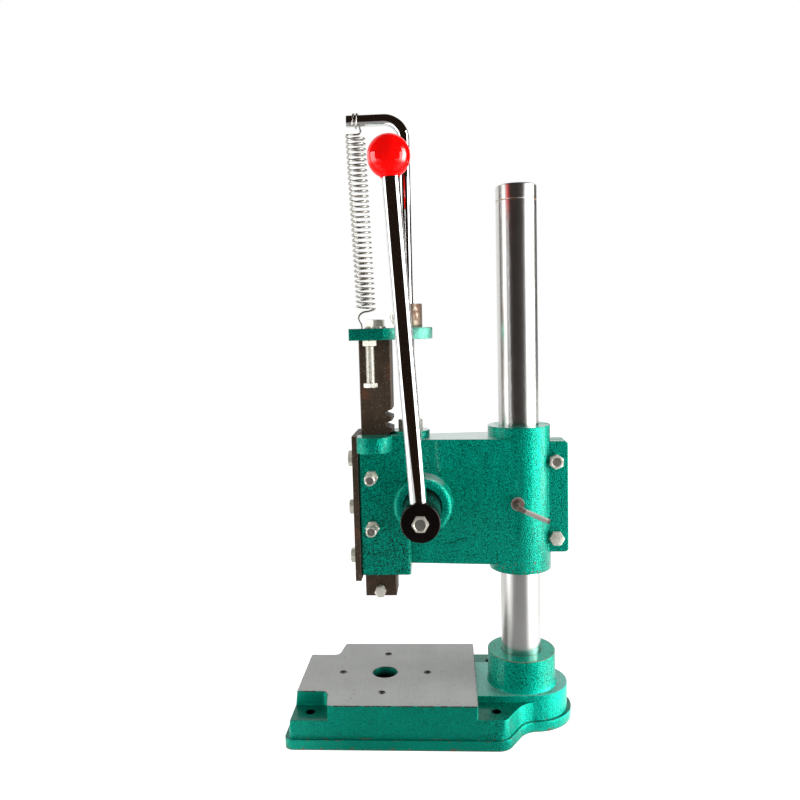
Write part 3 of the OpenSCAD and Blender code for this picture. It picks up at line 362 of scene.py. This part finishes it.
# Rust where the foot, the skirt's step and the collar's rim are knocked
rust = shade(noise(place, 240.0), (0.13, 0.045, 0.018), (0.3, 0.16, 0.09))
near_floor, near_step = 1 - rise(z, 0.002, 0.005), 1 - rise(abs(z - skirt_z), 0.0006, 0.0012)
knocks = rise(noise(place, 85.0, 4.0, 0.7), 0.55, 0.6)
knocked = (near_floor + near_step * 0.9) * knocks * (1 - faces_up)
colour = shade(knocked * 0.85, colour, rust)
low_band = 1 - rise(z, 0.004, 0.016)
rim_band = rise(z, collar_z - 0.0025, collar_z - 0.0002)
rubbed = noise(place, 55.0, 4.0, 0.65) + low_band * 0.3 + rim_band * 0.38 - 0.25
worn = rise(rubbed, 0.42, 0.52) * edges
colour = shade(worn, colour, rust)

# The ground table, with the arcs of the grinding wheel, scuffs, pits and chipped edges
table = rise(z, table_z - 0.00015, table_z - 0.00005) * (1 - rise(z, table_z + 0.001, table_z + 0.002))
table = table * (1 - rise(x, table_end_x + 0.0005, table_end_x + 0.001))
from_wheel = place.node("ShaderNodeVectorMath", {"operation": "ADD"}, {0: place, 1: (-0.06, 0.32, 0.0)})
arcs = place.node("ShaderNodeTexWave", {"wave_type": "RINGS", "rings_direction": "Z"}, {
    "Vector": from_wheel, "Scale": 95.0, "Distortion": 1.5, "Detail": 2.0})
scuffs = noise(stretched(place, 300.0, 22.0, 1.0), 1.0, 3.0)
clouds = noise(place, 24.0, 3.0)
steel = shade(arcs * 0.25 + scuffs * 0.35 + clouds * 0.4, (0.26, 0.265, 0.26), (0.5, 0.515, 0.5))
pits = rise(noise(place, 260.0, 2.0), 0.68, 0.72)
steel = shade(pits * 0.7, steel, (0.1, 0.08, 0.075))
nicks = edges * rise(noise(place, 120.0, 3.0), 0.45, 0.6)
steel = shade(nicks, steel, (0.05, 0.035, 0.03))
colour = shade(table, colour, steel)
chipped = (1 - faces_up) * rise(z, table_z - 0.0019, table_z - 0.0011) * (
    1 - rise(x, table_end_x + 0.002, table_end_x + 0.004))
chipped = chipped * rise(noise(place, 150.0, 4.0, 0.6), 0.44, 0.5)
colour = shade(chipped * 0.9, colour, (0.06, 0.035, 0.02))


def from_middles(x, y, middle_x, half_x, half_y):
    """How far a place is from the nearest of four upright axes."""
    along, aside = abs(abs(x - middle_x) - half_x), abs(abs(y) - half_y)
    return (along * along + aside * aside) ** 0.5


# Painted shade darkens the inside of the holes. The tapped ones are looked up in a plan turned by 45
# degrees.
foot_hole_shade = 1 - rise(from_middles(x, y, foot_middle_x, foot_half_x, foot_half_y),
                     foot_hole_r + 0.0001, foot_hole_r + 0.0005)
die_hole_shade = 1 - rise((x * x + y * y) ** 0.5, die_hole_r + 0.0001, die_hole_r + 0.0004)
die_hole_shade = die_hole_shade * (1 - rise(z, table_z - 0.014, table_z + 0.002))
from_taps = from_middles(x + y, x - y, 0.0, tapped_circle_r, tapped_circle_r) * math.sqrt(0.5)
tapped_hole_shade = 1 - rise(from_taps, tapped_r, tapped_r + 0.0003)
tapped_hole_shade = tapped_hole_shade * (1 - rise(z, table_z - 0.001, table_z - 0.0002))
surface(
    place,
    Base_Color=shade(foot_hole_shade + die_hole_shade + tapped_hole_shade, colour, (0.004, 0.006, 0.005)),
    Metallic=0.75 * (1 - worn) * (1 - table) + table * 0.75,
    Roughness=(1 - table) * (0.4 + 0.3 * worn) + table * (0.42 + 0.12 * scuffs),
    Specular_IOR_Level=0.1,
    Coat_Weight=(1 - table) * (1 - worn),
    Coat_IOR=1.18,
    Coat_Roughness=0.1,
    Normal=bumps(place, relief * (1 - table) + table * scuffs * 0.03, 0.0008, rounded),
)
dress("base_casting", base_paint)
ease_edges("base_casting", 0.0013)

# A thread is a ridge that winds down the hole's wall and runs out at both ends
tap_pitch, tap_turns, tap_steps = 0.0015, 11, 24
ridge_h, ridge_half, wall_r = 0.00065, 0.0006, tapped_r + 0.00003
ridges = bmesh.new()
for quarter in range(4):
    around = quarter * math.pi / 2
    centre = Vector((tapped_circle_r * math.cos(around), tapped_circle_r * math.sin(around),
                     table_z - 2 * ridge_half))
    rings = []
    for step in range(tap_turns * tap_steps + 1):
        turned, left = step / tap_steps, tap_turns - step / tap_steps
        out = Vector((math.cos(2 * math.pi * turned), math.sin(2 * math.pi * turned), 0.0))
        down = Vector((0.0, 0.0, -tap_pitch * turned))
        crest = ridge_h * min(1.0, turned, left + 0.05)
        half = Vector((0.0, 0.0, ridge_half))
        rings.append([centre + out * wall_r + down - half, centre + out * wall_r + down + half,
                      centre + out * (tapped_r - crest) + down])
    skin(ridges, rings)
bmesh.ops.recalc_face_normals(ridges, faces=ridges.faces)
thread_steel, place = new_finish("thread_steel")
surface(
    place,
    Base_Color=shade(noise(place, 700.0), (0.1, 0.085, 0.08), (0.5, 0.46, 0.44)),
    Metallic=0.9,
    Roughness=0.3 + 0.2 * noise(place, 300.0),
)
piece("tapped_threads", ridges, [thread_steel], "green_paint", "base")

# The column. A ground round bar, pressed into the base, with a thin rusty ring near its top and
# a centre hole from the lathe in its end.
column_steel, place = new_finish("column_steel")
column_low, column_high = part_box("column")
x, y, z = (place.part(axis) for axis in "XYZ")
off_x = x - (column_low.x + column_high.x) / 2
from_axis = (off_x * off_x + y * y) ** 0.5
streaks = noise(stretched(place, 900.0, 900.0, 9.0), 1.0, 3.0)
smudges = noise(place, 26.0, 4.0, 0.6)
ring_drop, hole_r = 0.0206, 0.003
ring = 1 - rise(abs(z - (column_high.z - ring_drop)), 0.0003, 0.0009)
ring = ring * rise(noise(place, 90.0), 0.4, 0.6)
end_face = rise(z, column_high.z - 0.0003, column_high.z - 0.0001)
turned = end_face * place.node("ShaderNodeMath", {"operation": "SINE"}, {0: from_axis * 9000.0})
centre_hole_shaded = end_face * (1 - rise(from_axis, hole_r - 0.0004, hole_r + 0.0004))
colour = shade(streaks * 0.5 + smudges * 0.5, (0.6, 0.59, 0.57), (0.8, 0.79, 0.77))
colour = shade(ring, colour, (0.45, 0.22, 0.06))
# Painted shade darkens the centre hole
colour = shade(centre_hole_shaded, colour, (0.02, 0.018, 0.016))
surface(
    place,
    Base_Color=colour,
    Metallic=1.0,
    Roughness=0.23 + 0.05 * smudges + ring * 0.3,
    Normal=bumps(place, streaks + turned * 0.6 - centre_hole_shaded * 20, 0.00003),
)
dress("column", column_steel)

# The head casting. The same green paint as on the base, with dark pits low on the ram block, a few runs
# and scars on the arm, and edges rounded in the shading so that they catch the light.
block_right, ear_x, arm_left, arm_right = 0.044, 0.222, 0.05, 0.17
head_paint, place = new_finish("head_paint")
colour, relief = hammer_paint(place, contrast=0.75)
x, y, z = (place.part(axis) for axis in "XYZ")
rounded = soft_edges(place, 0.0028)
edges = edge_mask(rounded)
front = 1 - rise(y, -0.02, 0.0)
on_block = 1 - rise(x, block_right, block_right + 0.006)

# Painted shade darkens the block and the ears, and a painted sheen whitens the arm's top
in_shade = on_block * 0.16 + rise(x, ear_x, ear_x + 0.004) * 0.25
colour = shade(in_shade, colour, painted_shade_green)
arm_top_sheen = facing_up(place, 0.6, 0.9) * rise(x, arm_left, arm_left + 0.01) * (
    1 - rise(x, arm_right - 0.01, arm_right))
colour = shade(arm_top_sheen * 0.5, colour, (0.98, 0.98, 1.0))

# Dark pits low on the block
pit_cells = place.node("ShaderNodeTexVoronoi", {}, {
    "Vector": stretched(place, 1.0, 1.0, 1.4), "Scale": 260.0, "Randomness": 1.0})
pit_field = (1 - rise(z, 0.27, 0.315)) * on_block * front
pits = (1 - rise(pit_cells, 0.26, 0.4)) * rise(noise(place, 95.0) + pit_field * 0.15, 0.56, 0.62)
pits = pits * rise(pit_field, 0.05, 0.3)
ripple = noise(place, 45.0, 3.0) * 0.012


def run(line, low_x, high_x, slope=0.0):
    """A fine run of paint on the arm's front, from low_x to high_x, at the height line."""
    off = abs(z - (x - low_x) * slope + ripple - line)
    return (1 - rise(off, 0.0004, 0.0012)) * rise(x, low_x, low_x + 0.01) * (
        1 - rise(x, high_x - 0.01, high_x))


runs = run(0.4035, 0.108, 0.164) + run(0.2628, 0.084, 0.142, slope=0.37)
runs = runs * rise(noise(place, 130.0, 2.0), 0.38, 0.5) * front
colour = shade(pits + runs * 0.6, colour, (0.002, 0.014, 0.012))

# Specks of rust on the arm's lower edge, and chips on all edges
rust_dots = rise(noise(place, 210.0, 2.0), 0.66, 0.7) * (1 - rise(z, 0.2335, 0.236))
rust_dots = rust_dots * front * rise(x, 0.1, 0.11)
colour = shade(rust_dots, colour, (0.25, 0.08, 0.03))
chips = rise(noise(place, 75.0, 5.0, 0.7), 0.66, 0.7) * edges
colour = shade(chips, colour, (0.24, 0.12, 0.07))
surface(
    place,
    Base_Color=colour,
    Metallic=0.75 * (1 - pits) * (1 - chips),
    Roughness=0.4 + 0.2 * pits + 0.2 * chips,
    Specular_IOR_Level=0.1,
    Coat_Weight=(1 - chips) * (1 - pits),
    Coat_IOR=1.18,
    Coat_Roughness=0.1,
    Normal=bumps(place, relief - pits * 0.8 + runs * 2.0, 0.0008, rounded),
)
dress("head_casting", head_paint)
ease_edges("head_casting", 0.0014)

# The ram, its cover plate and its gib. Dark rolled steel, ground along its length, with a brown
# tone, fine scratches and rust in the rack's teeth.


def dark_steel(name, along, rust_share):
    """Rolled steel with a grain that is stretched by along, and some rust in patches."""
    finish, place = new_finish(name)
    grain = noise(stretched(place, *along), 1.0, 4.0, 0.6)
    patches = noise(place, 34.0, 4.0, 0.6)
    specks = rise(noise(place, 420.0, 2.0), 0.62, 0.72)
    edges = edge_mask(soft_edges(place, 0.0011))
    colour = shade(grain * 0.6 + patches * 0.4, (0.022, 0.013, 0.007), (0.1, 0.062, 0.036))
    colour = shade(specks * 0.35, colour, (0.45, 0.42, 0.38))
    colour = shade(edges * 0.6, colour, (0.26, 0.2, 0.16))
    colour = shade(rise(patches, 0.62, 0.72) * rust_share, colour, (0.16, 0.05, 0.02))
    surface(
        place,
        Base_Color=colour,
        Metallic=0.6 - 0.3 * patches,
        Roughness=0.42 + 0.2 * grain,
        Normal=bumps(place, grain, 0.00014),
    )
    return finish


ram_steel = dark_steel("ram_steel", along=(900.0, 900.0, 14.0), rust_share=0.6)
for node in ("ram", "cover_plate", "gib_strip"):
    dress(node, ram_steel)
ease_edges("cover_plate", 0.0007)
dress("pinion_gear", dark_steel("gear_steel", along=(700.0, 60.0, 700.0), rust_share=0.2))

# The nuts, washers, shaft and keys. Pale zinc plate over rolled steel, ground steel, and bronze.


def plated(name, low, high, roughness, metal=1.0):
    """A bare or plated metal that is mottled between two colours."""
    finish, place = new_finish(name)
    mottle = noise(place, 160.0, 3.0)
    fine = noise(place, 1300.0, 2.0)
    surface(
        place,
        Base_Color=shade(mottle * 0.6 + fine * 0.4, low, high),
        Metallic=metal,
        Roughness=roughness + 0.18 * mottle,
        Normal=bumps(place, fine + mottle, 0.00008),
    )
    return finish


zinc = plated("zinc", (0.5, 0.48, 0.4), (1.0, 0.98, 0.88), roughness=0.2, metal=0.6)
for node in ("gib_lock_nuts", "clamp_washers", "clamp_nuts", "post_lock_nut", "crosshead_washer"):
    dress(node, zinc)
ground = plated("ground_shaft", (0.5, 0.49, 0.47), (0.68, 0.67, 0.65), roughness=0.16)
for node in ("pinion_shaft", "pinion_key", "hub_key"):
    dress(node, ground)
bronze = plated("bronze", (0.36, 0.2, 0.07), (0.62, 0.42, 0.19), roughness=0.26)
for node in ("front_bush", "rear_bush"):
    dress(node, bronze)

# The screws. Cold-headed steel with a rolled thread, all zinc plated and dulled by handling. Most
# have hexagon heads, some of them dished, and the gib's have round ones.
m10, m12, m16 = (0.005, 0.0015), (0.006, 0.00175), (0.008, 0.002)


def circle(radius, height, points=48):
    """A ring of points at this height."""
    return [(radius * math.cos(2 * math.pi * i / points), radius * math.sin(2 * math.pi * i / points),
             height) for i in range(points)]


def hexagon(flats, height, low_rim=False):
    """Rings up a hexagon's sides, with its corners turned off at the top, and below if wished."""
    rim = 0.94 * flats / 2

    def side(turned_at, sign):
        ring = []
        for x, y, _ in circle(1.0, 0.0):
            angle = math.atan2(y, x) % (math.pi / 3)
            reach = flats / 2 / math.cos(angle - math.pi / 6)
            ring.append((x * reach, y * reach, turned_at - sign * (reach - rim) * 0.5))
        return ring

    low = [circle(rim, 0.0), side(0.0, -1)] if low_rim else [
        [(x, y, 0.0) for x, y, _ in side(0.0, 0)]]
    return low + [side(height, 1), circle(rim, height)]


def threaded(radius, pitch, low, high):
    """Rings up a screw thread from low to high, with a chamfer at its low end."""
    rings = []
    rows = max(2, round((high - low) / pitch * 7))
    for row in range(rows + 1):
        z = low + (high - low) * row / rows
        fade = min(1.0, (z - low) / pitch, (high - z) / pitch)
        chamfer = 0.5 * pitch * max(0.0, 1 - (z - low) / pitch)
        ring = []
        for x, y, _ in circle(1.0, 0.0):
            phase = z / pitch - math.atan2(y, x) / (2 * math.pi)
            cut = 0.42 * pitch * (0.5 - 0.5 * math.cos(2 * math.pi * phase)) * fade
            reach = radius - cut - chamfer
            ring.append((x * reach, y * reach, z))
        rings.append(ring)
    return rings


def screw(shape, at, axis, flats, head, thread, length, spin=0.0, dish=0.0, plain=0.0,
          turned=False):
    """A screw with a hexagon head or a turned round one. The head stands on the point at and
    rises along axis. The shank runs the other way, with a plain stretch under the head."""
    stand = Matrix.Translation(at) @ Vector(axis).to_track_quat("Z", "Y").to_matrix().to_4x4()
    stand = stand @ Matrix.Rotation(math.radians(spin), 4, "Z")
    radius, pitch = thread
    runout, edge = 0.0002, 0.0007
    rings = threaded(radius, pitch, -length, -plain - runout - 0.0001)
    rings += [circle(radius, -plain - 0.0001), circle(radius, 0.0)]
    head_from = len(rings)
    rings += hexagon(flats, head) if not turned else [
        circle(flats / 2, 0.0), circle(flats / 2, head - edge), circle(flats / 2 - edge, head)]
    if dish:
        rings += [circle(dish, head), circle(0.94 * dish, head - 0.0005),
                  circle(0.88 * dish, head - 0.0009)]
    skin(shape, rings, stand, crisp_from=head_from, end_finish=1 if dish else 0)


def middle(node):
    """The middle of a CAD node's box."""
    low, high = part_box(node)
    return (low + high) / 2


screw_bodies = {
    "gib_screws": "head", "cover_bolts": "head", "clamp_bolts": "head",
    "tool_clamp_screw": "ram", "hub_bolt": "lever", "crosshead_bolt": "ram",
    "stop_bolt": "depth_stop", "stop_collar_screw": "head"}
screws = {node: bmesh.new() for node in screw_bodies}


def front_screw(node, z, flats, head, thread, **look):
    """A screw of this node at this height, whose head looks forward."""
    low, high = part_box(node)
    screw(screws[node], (middle(node).x, low.y + head, z), (0, -1, 0), flats, head, thread,
          high.y - low.y - head, **look)


low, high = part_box("gib_screws")
gib_flats = 0.015
for z in (low.z + gib_flats / 2, high.z - gib_flats / 2):
    front_screw("gib_screws", z, flats=0.94 * gib_flats, head=0.007, thread=m10, dish=0.0057,
                turned=True)

low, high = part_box("clamp_bolts")
clamp_flats = 0.018
for z, spin, dish in ((low.z + clamp_flats / 2, 0, 0.0), (high.z - clamp_flats / 2, 25, 0.0068)):
    front_screw("clamp_bolts", z, clamp_flats, head=0.008, thread=m12, spin=spin, dish=dish,
                plain=0.024)

front_screw("tool_clamp_screw", middle("tool_clamp_screw").z, flats=0.0145, head=0.006,
            thread=m10, spin=10)
front_screw("hub_bolt", middle("hub_bolt").z, flats=0.0185, head=0.008, thread=m12, dish=0.008)

low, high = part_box("cover_bolts")
centre = middle("cover_bolts")
cover_flats, cover_head = 0.019, 0.0062
half_y = (high.y - low.y - cover_flats) / 2
half_z = (high.z - low.z) / 2 - cover_flats / 2 / math.cos(math.pi / 6)
for row in (-1, 0, 1):
    for side in (-1, 1):
        screw(screws["cover_bolts"],
              (low.x + cover_head, centre.y + side * half_y, centre.z + row * half_z), (-1, 0, 0),
              cover_flats, cover_head, m10, high.x - low.x - cover_head,
              spin=17 * row + 40 * side, dish=0.0058, plain=0.006)

low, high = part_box("crosshead_bolt")
crosshead_head = 0.010
screw(screws["crosshead_bolt"], (middle("crosshead_bolt").x, 0.0, high.z - crosshead_head),
      axis=(0, 0, 1), flats=0.024, head=crosshead_head, thread=m16,
      length=high.z - low.z - crosshead_head, spin=25, plain=0.012)

low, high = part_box("stop_bolt")
stop_x, stop_y = middle("stop_bolt").x, middle("stop_bolt").y
stop_flats, stop_head = 0.0185, 0.006
screw(screws["stop_bolt"], (stop_x, stop_y, low.z + stop_head), (0, 0, -1),
      stop_flats, stop_head, m12, high.z - low.z - stop_head, spin=30)

collar_turn = math.radians(27)
collar_axis = Vector((-math.sin(collar_turn), -math.cos(collar_turn), 0.0))
collar_r, post_r = 0.020, 0.008
screw_over_plate = 0.0145
collar_middle = Vector((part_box("spring_post")[1].x - post_r, 0.0,
                        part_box("crosshead_plate")[1].z + screw_over_plate))
screw(screws["stop_collar_screw"], collar_middle + collar_axis * (collar_r + 0.004), collar_axis,
      flats=0.019, head=0.008, thread=m12, length=0.0148, dish=0.0064)

# The dished faces wear a dark finish, a painted reflection of the dark room in front
dish_painted_shade = plated("dish_painted_shade", (0.03, 0.027, 0.024), (0.42, 0.4, 0.35), roughness=0.3, metal=0.6)
for node, body in screw_bodies.items():
    piece(node + "_threaded", screws[node], [zinc, dish_painted_shade], "zinc_plate", body, node)

low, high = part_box("stop_bolt_nut")
nut_h, nut_bore, bore_edge = high.z - low.z, 0.0062, 0.0006
stop_nut = bmesh.new()
skin(stop_nut, hexagon(stop_flats, nut_h, low_rim=True) + [
    circle(nut_bore + bore_edge, nut_h), circle(nut_bore, nut_h - bore_edge),
    circle(nut_bore, bore_edge), circle(nut_bore + bore_edge, 0.0)],
    Matrix.Translation((stop_x, stop_y, low.z)) @ Matrix.Rotation(math.radians(32), 4, "Z"),
    ring_shut=True)
piece("stop_nut", stop_nut, [zinc], "zinc_plate", "ram", "stop_bolt_nut")

# The column lock. A screw with a round collar and a bent rod. The collar is brown from handling, and
# the rod is painted pale, a painted reflection.
handle_steel, place = new_finish("handle_steel")
screw_x, screw_z = 0.1925, 0.318
collar_end, rod_end = 0.0085, 0.040
x, z = place.part("X") - screw_x, place.part("Z") - screw_z
off_axis = (x * x + z * z) ** 0.5
rod_painted_reflection = rise(off_axis, collar_end - 0.001, collar_end + 0.001)
rod_painted_reflection = rod_painted_reflection * (1 - rise(off_axis, rod_end - 0.0015, rod_end + 0.0015))
stain = noise(place, 90.0, 4.0, 0.6)
brown = shade(rise(stain, 0.35, 0.65), (0.3, 0.23, 0.2), (0.12, 0.075, 0.06))
surface(
    place,
    Base_Color=shade(rod_painted_reflection * 0.6, brown, (0.78, 0.76, 0.7)),
    Metallic=0.6,
    Roughness=0.22 + 0.25 * stain,
    Normal=bumps(place, noise(place, 700.0), 0.0001),
)
dress("lock_handle", handle_steel)

# The spring post and the lever. Round bars with polished chrome plate.
chrome, place = new_finish("chrome")
breath = noise(place, 40.0, 3.0)
surface(
    place,
    Base_Color=shade(breath, (0.8, 0.8, 0.8), (0.9, 0.9, 0.9)),
    Metallic=1.0,
    Roughness=0.035 + 0.04 * breath,
    Normal=bumps(place, breath, 0.00002),
)
for node in ("spring_post", "lever_bar"):
    dress(node, chrome)

# The stop collar. Turned steel that has rusted brown.
collar_rust, place = new_finish("collar_rust")
lathe = noise(stretched(place, 60.0, 60.0, 1400.0), 1.0, 2.0)
blotch = noise(place, 130.0, 5.0, 0.7)
rusty = rise(blotch, 0.38, 0.62)
surface(
    place,
    Base_Color=shade(rusty, (0.52, 0.43, 0.33), (0.2, 0.1, 0.06)),
    Metallic=0.9 - 0.5 * rusty,
    Roughness=0.27 + 0.3 * rusty,
    Normal=bumps(place, lathe * 0.3 + blotch, 0.00025),
)
dress("stop_collar", collar_rust)
ease_edges("stop_collar", 0.0006)

# The crosshead plate. Flame-cut plate with the same green paint, which is more chipped at the round
# end. Painted light makes it paler at the round end, and painted shade darkens it towards the other
# end.
plate_paint, place = new_finish("plate_paint")
colour, relief = hammer_paint(place, contrast=0.6)
rounded = soft_edges(place, 0.0016)
edges = edge_mask(rounded)
round_end = rise(place.part("X"), 0.02, 0.034)
# The chips are pale metal at the round end, partly painted light, and brown elsewhere
edge_tone = shade(round_end, (0.34, 0.24, 0.18), (0.8, 0.74, 0.68))
chips = rise(noise(place, 70.0, 4.0, 0.7) + round_end * 0.1, 0.58, 0.63) * edges
# Painted shade away from the round end, and painted light at it
colour = shade(0.38 * (1 - round_end), colour, painted_shade_green)
colour = shade(0.6 * round_end, colour, (0.35, 0.9, 0.72))
colour = shade(chips, colour, edge_tone)
surface(
    place,
    Base_Color=colour,
    Metallic=0.75 * (1 - chips),
    Roughness=0.4 + 0.2 * chips,
    Specular_IOR_Level=0.1,
    Coat_Weight=1 - chips,
    Coat_IOR=1.18,
    Coat_Roughness=0.1,
    Normal=bumps(place, relief, 0.0008, rounded),
)
dress("crosshead_plate", plate_paint)
ease_edges("crosshead_plate", 0.001)

# The lever hub and the shaft's rear collar. Turned steel with black oxide, oily and dark.
black, place = new_finish("black_oxide")
lathe = noise(stretched(place, 30.0, 1500.0, 30.0), 1.0, 2.0)
film = noise(place, 60.0, 4.0)
surface(
    place,
    Base_Color=shade(film, (0.004, 0.002, 0.002), (0.02, 0.013, 0.011)),
    Metallic=0.8,
    Roughness=0.2 + 0.15 * film,
    Normal=bumps(place, lathe, 0.00004),
)
for node in ("lever_hub", "rear_collar", "rear_collar_screw"):
    dress(node, black)
ease_edges("lever_hub", 0.0005)

# The ball knob. Red phenolic resin, moulded round the lever with a short neck. Hands have polished
# a band round its middle.
resin, place = new_finish("red_resin")
swirl = noise(place, 35.0, 3.0)
low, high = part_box("ball_knob")
ball_middle = (low + high) / 2
above_middle = place.part("Z") - ball_middle.z
off_middle = abs(place.part("X") - ball_middle.x)
handled = rise(above_middle, -0.012, -0.006) * (1 - rise(above_middle, 0.0025, 0.005))
handled = handled * rise(off_middle, 0.005, 0.009)
surface(
    place,
    Base_Color=shade(swirl, (0.84, 0.0, 0.0), (0.94, 0.002, 0.001)),
    Roughness=0.14 + 0.05 * swirl,
    Specular_IOR_Level=0.08,
    Coat_Weight=handled,
    Coat_IOR=1.9,
    Coat_Roughness=0.02,
    Normal=bumps(place, swirl, 0.00003),
)
ball_r = (high.x - low.x) / 2
ball_lean = math.radians(3.45)
bore_r, neck_r, neck_end, neck_edge = 0.01105, 0.0123, -0.0252, 0.0004
neck_top = -math.sqrt(ball_r ** 2 - neck_r ** 2)
rings = [circle(bore_r, ball_r * -0.25, 64), circle(bore_r, neck_end + neck_edge, 64),
         circle(bore_r + 0.0003, neck_end, 64), circle(neck_r - neck_edge, neck_end, 64),
         circle(neck_r, neck_end + neck_edge, 64), circle(neck_r, neck_top - 0.0005, 64)]
pole_gap, tilts = 0.02, 40
lowest, highest = math.asin(neck_top / ball_r) + pole_gap, math.pi / 2 - pole_gap
for step in range(tilts + 1):
    tilt = lowest + (highest - lowest) * step / tilts
    rings.append(circle(ball_r * math.cos(tilt), ball_r * math.sin(tilt), 64))
ball = bmesh.new()
skin(ball, rings, Matrix.Translation(ball_middle) @ Matrix.Rotation(-ball_lean, 4, "Y"),
     crisp_from=len(rings))
piece("ball_with_neck", ball, [resin], "red_knob", "lever", "ball_knob")

# The return spring. Drawn steel wire wound close, with a hook through the crosshead plate and
# an eye of nearly two turns round the post's cross bar.
spring_wire = plated("spring_wire", (0.45, 0.44, 0.4), (0.8, 0.78, 0.72), roughness=0.16)
wire_r, coil_r = 0.0013, 0.0127
bar_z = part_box("spring_post")[1].z - post_r
plate_low, plate_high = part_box("crosshead_plate")
coil_low_x, coil_over_plate = -0.0124, 0.028
coil_high_x, coil_under_bar = -0.0202, 0.020
coil_low = Vector((coil_low_x, 0.0, plate_high.z + coil_over_plate))
coil_high = Vector((coil_high_x, 0.0, bar_z - coil_under_bar))
coil_turns, coil_start = 33.5, math.radians(20)
eye_r, eye_turns, eye_start = 0.0094, 1.75, math.radians(-50)
eye_from, eye_to = -0.0145, -0.023
hook_x = -0.019


def on_coil(turn):
    """A point of the curls, so many turns up from the lowest one."""
    angle = coil_start + 2 * math.pi * turn
    return coil_low.lerp(coil_high, turn / coil_turns) + Vector(
        (coil_r * math.cos(angle), coil_r * math.sin(angle), 0.0))


def on_eye(turn):
    """A point of the eye, which goes up behind the bar, over it and down in front."""
    angle = eye_start + 2 * math.pi * turn
    return Vector((eye_from + (eye_to - eye_from) * turn / eye_turns,
                   eye_r * math.cos(angle), bar_z + eye_r * math.sin(angle)))


def course(curve, turn):
    """The direction of a curve there."""
    return (curve(turn + 0.01) - curve(turn - 0.01)).normalized()


def bend(start, leave, arrive, end, steps=14):
    """Points of a smooth bend after its start, up to its end."""
    return [start * (1 - t) ** 3 + leave * 3 * t * (1 - t) ** 2
            + arrive * 3 * t * t * (1 - t) + end * t ** 3
            for t in ((i + 1) / steps for i in range(steps))]


# The wire's course: up from the hook, round the curls, and into the eye. A side and a lift are a
# millimetre long.
side, lift = Vector((0.001, 0.0, 0.0)), Vector((0.0, 0.0, 0.001))
hook_foot = Vector((hook_x, 0.0, plate_low.z + 0.004))
hook_top = Vector((hook_x, 0.0, plate_high.z + 0.0026))
low_bulge = Vector((hook_x - 0.0042, 0.0, plate_high.z + 0.015))
low_centre = coil_low + Vector((0.0005, 0.0, -0.004))
high_centre = coil_high + Vector((0.0, 0.0, 0.002))
high_bulge = Vector((-0.0126, 0.0, bar_z - 0.014))
coil_first, coil_last = on_coil(0), on_coil(coil_turns)
path = [hook_foot.lerp(hook_top, i / 6) for i in range(7)]
path += bend(hook_top, hook_top + 4.5 * lift, low_bulge - 4.5 * lift, low_bulge)
path += bend(low_bulge, low_bulge + 5 * lift, low_centre - 5.5 * side, low_centre)
path += bend(low_centre, low_centre + 5 * side,
             coil_first - 0.005 * course(on_coil, 0), coil_first)
coil_steps = int(coil_turns * 30)
path += [on_coil(coil_turns * (i + 1) / coil_steps) for i in range(coil_steps)]
path += bend(coil_last, coil_last + 0.0045 * course(on_coil, coil_turns),
             high_centre - 6 * side, high_centre)
path += bend(high_centre, high_centre + 4.5 * side, high_bulge - 3.5 * lift, high_bulge)
path += bend(high_bulge, high_bulge + 3 * lift, on_eye(0) - 0.003 * course(on_eye, 0), on_eye(0))
path += [on_eye(eye_turns * (i + 1) / 60) for i in range(60)]
path.append(path[-1] + 0.0026 * course(on_eye, eye_turns))

across = Vector((0.0, 1.0, 0.0))
rings = []
wire_sides = 14
for i, point in enumerate(path):
    ahead = (path[min(i + 1, len(path) - 1)] - path[max(i - 1, 0)]).normalized()
    across = (across - ahead * across.dot(ahead)).normalized()
    up = ahead.cross(across)
    size = wire_r * (0.8 if i in (0, len(path) - 1) else 1.0)
    rings.append([point + size * (math.cos(2 * math.pi * k / wire_sides) * across
                                  + math.sin(2 * math.pi * k / wire_sides) * up)
                  for k in range(wire_sides)])
wire = bmesh.new()
skin(wire, rings, crisp_from=len(rings))
spring = piece("spring", wire, [spring_wire], "spring_wire", None, "return_spring")
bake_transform(spring)
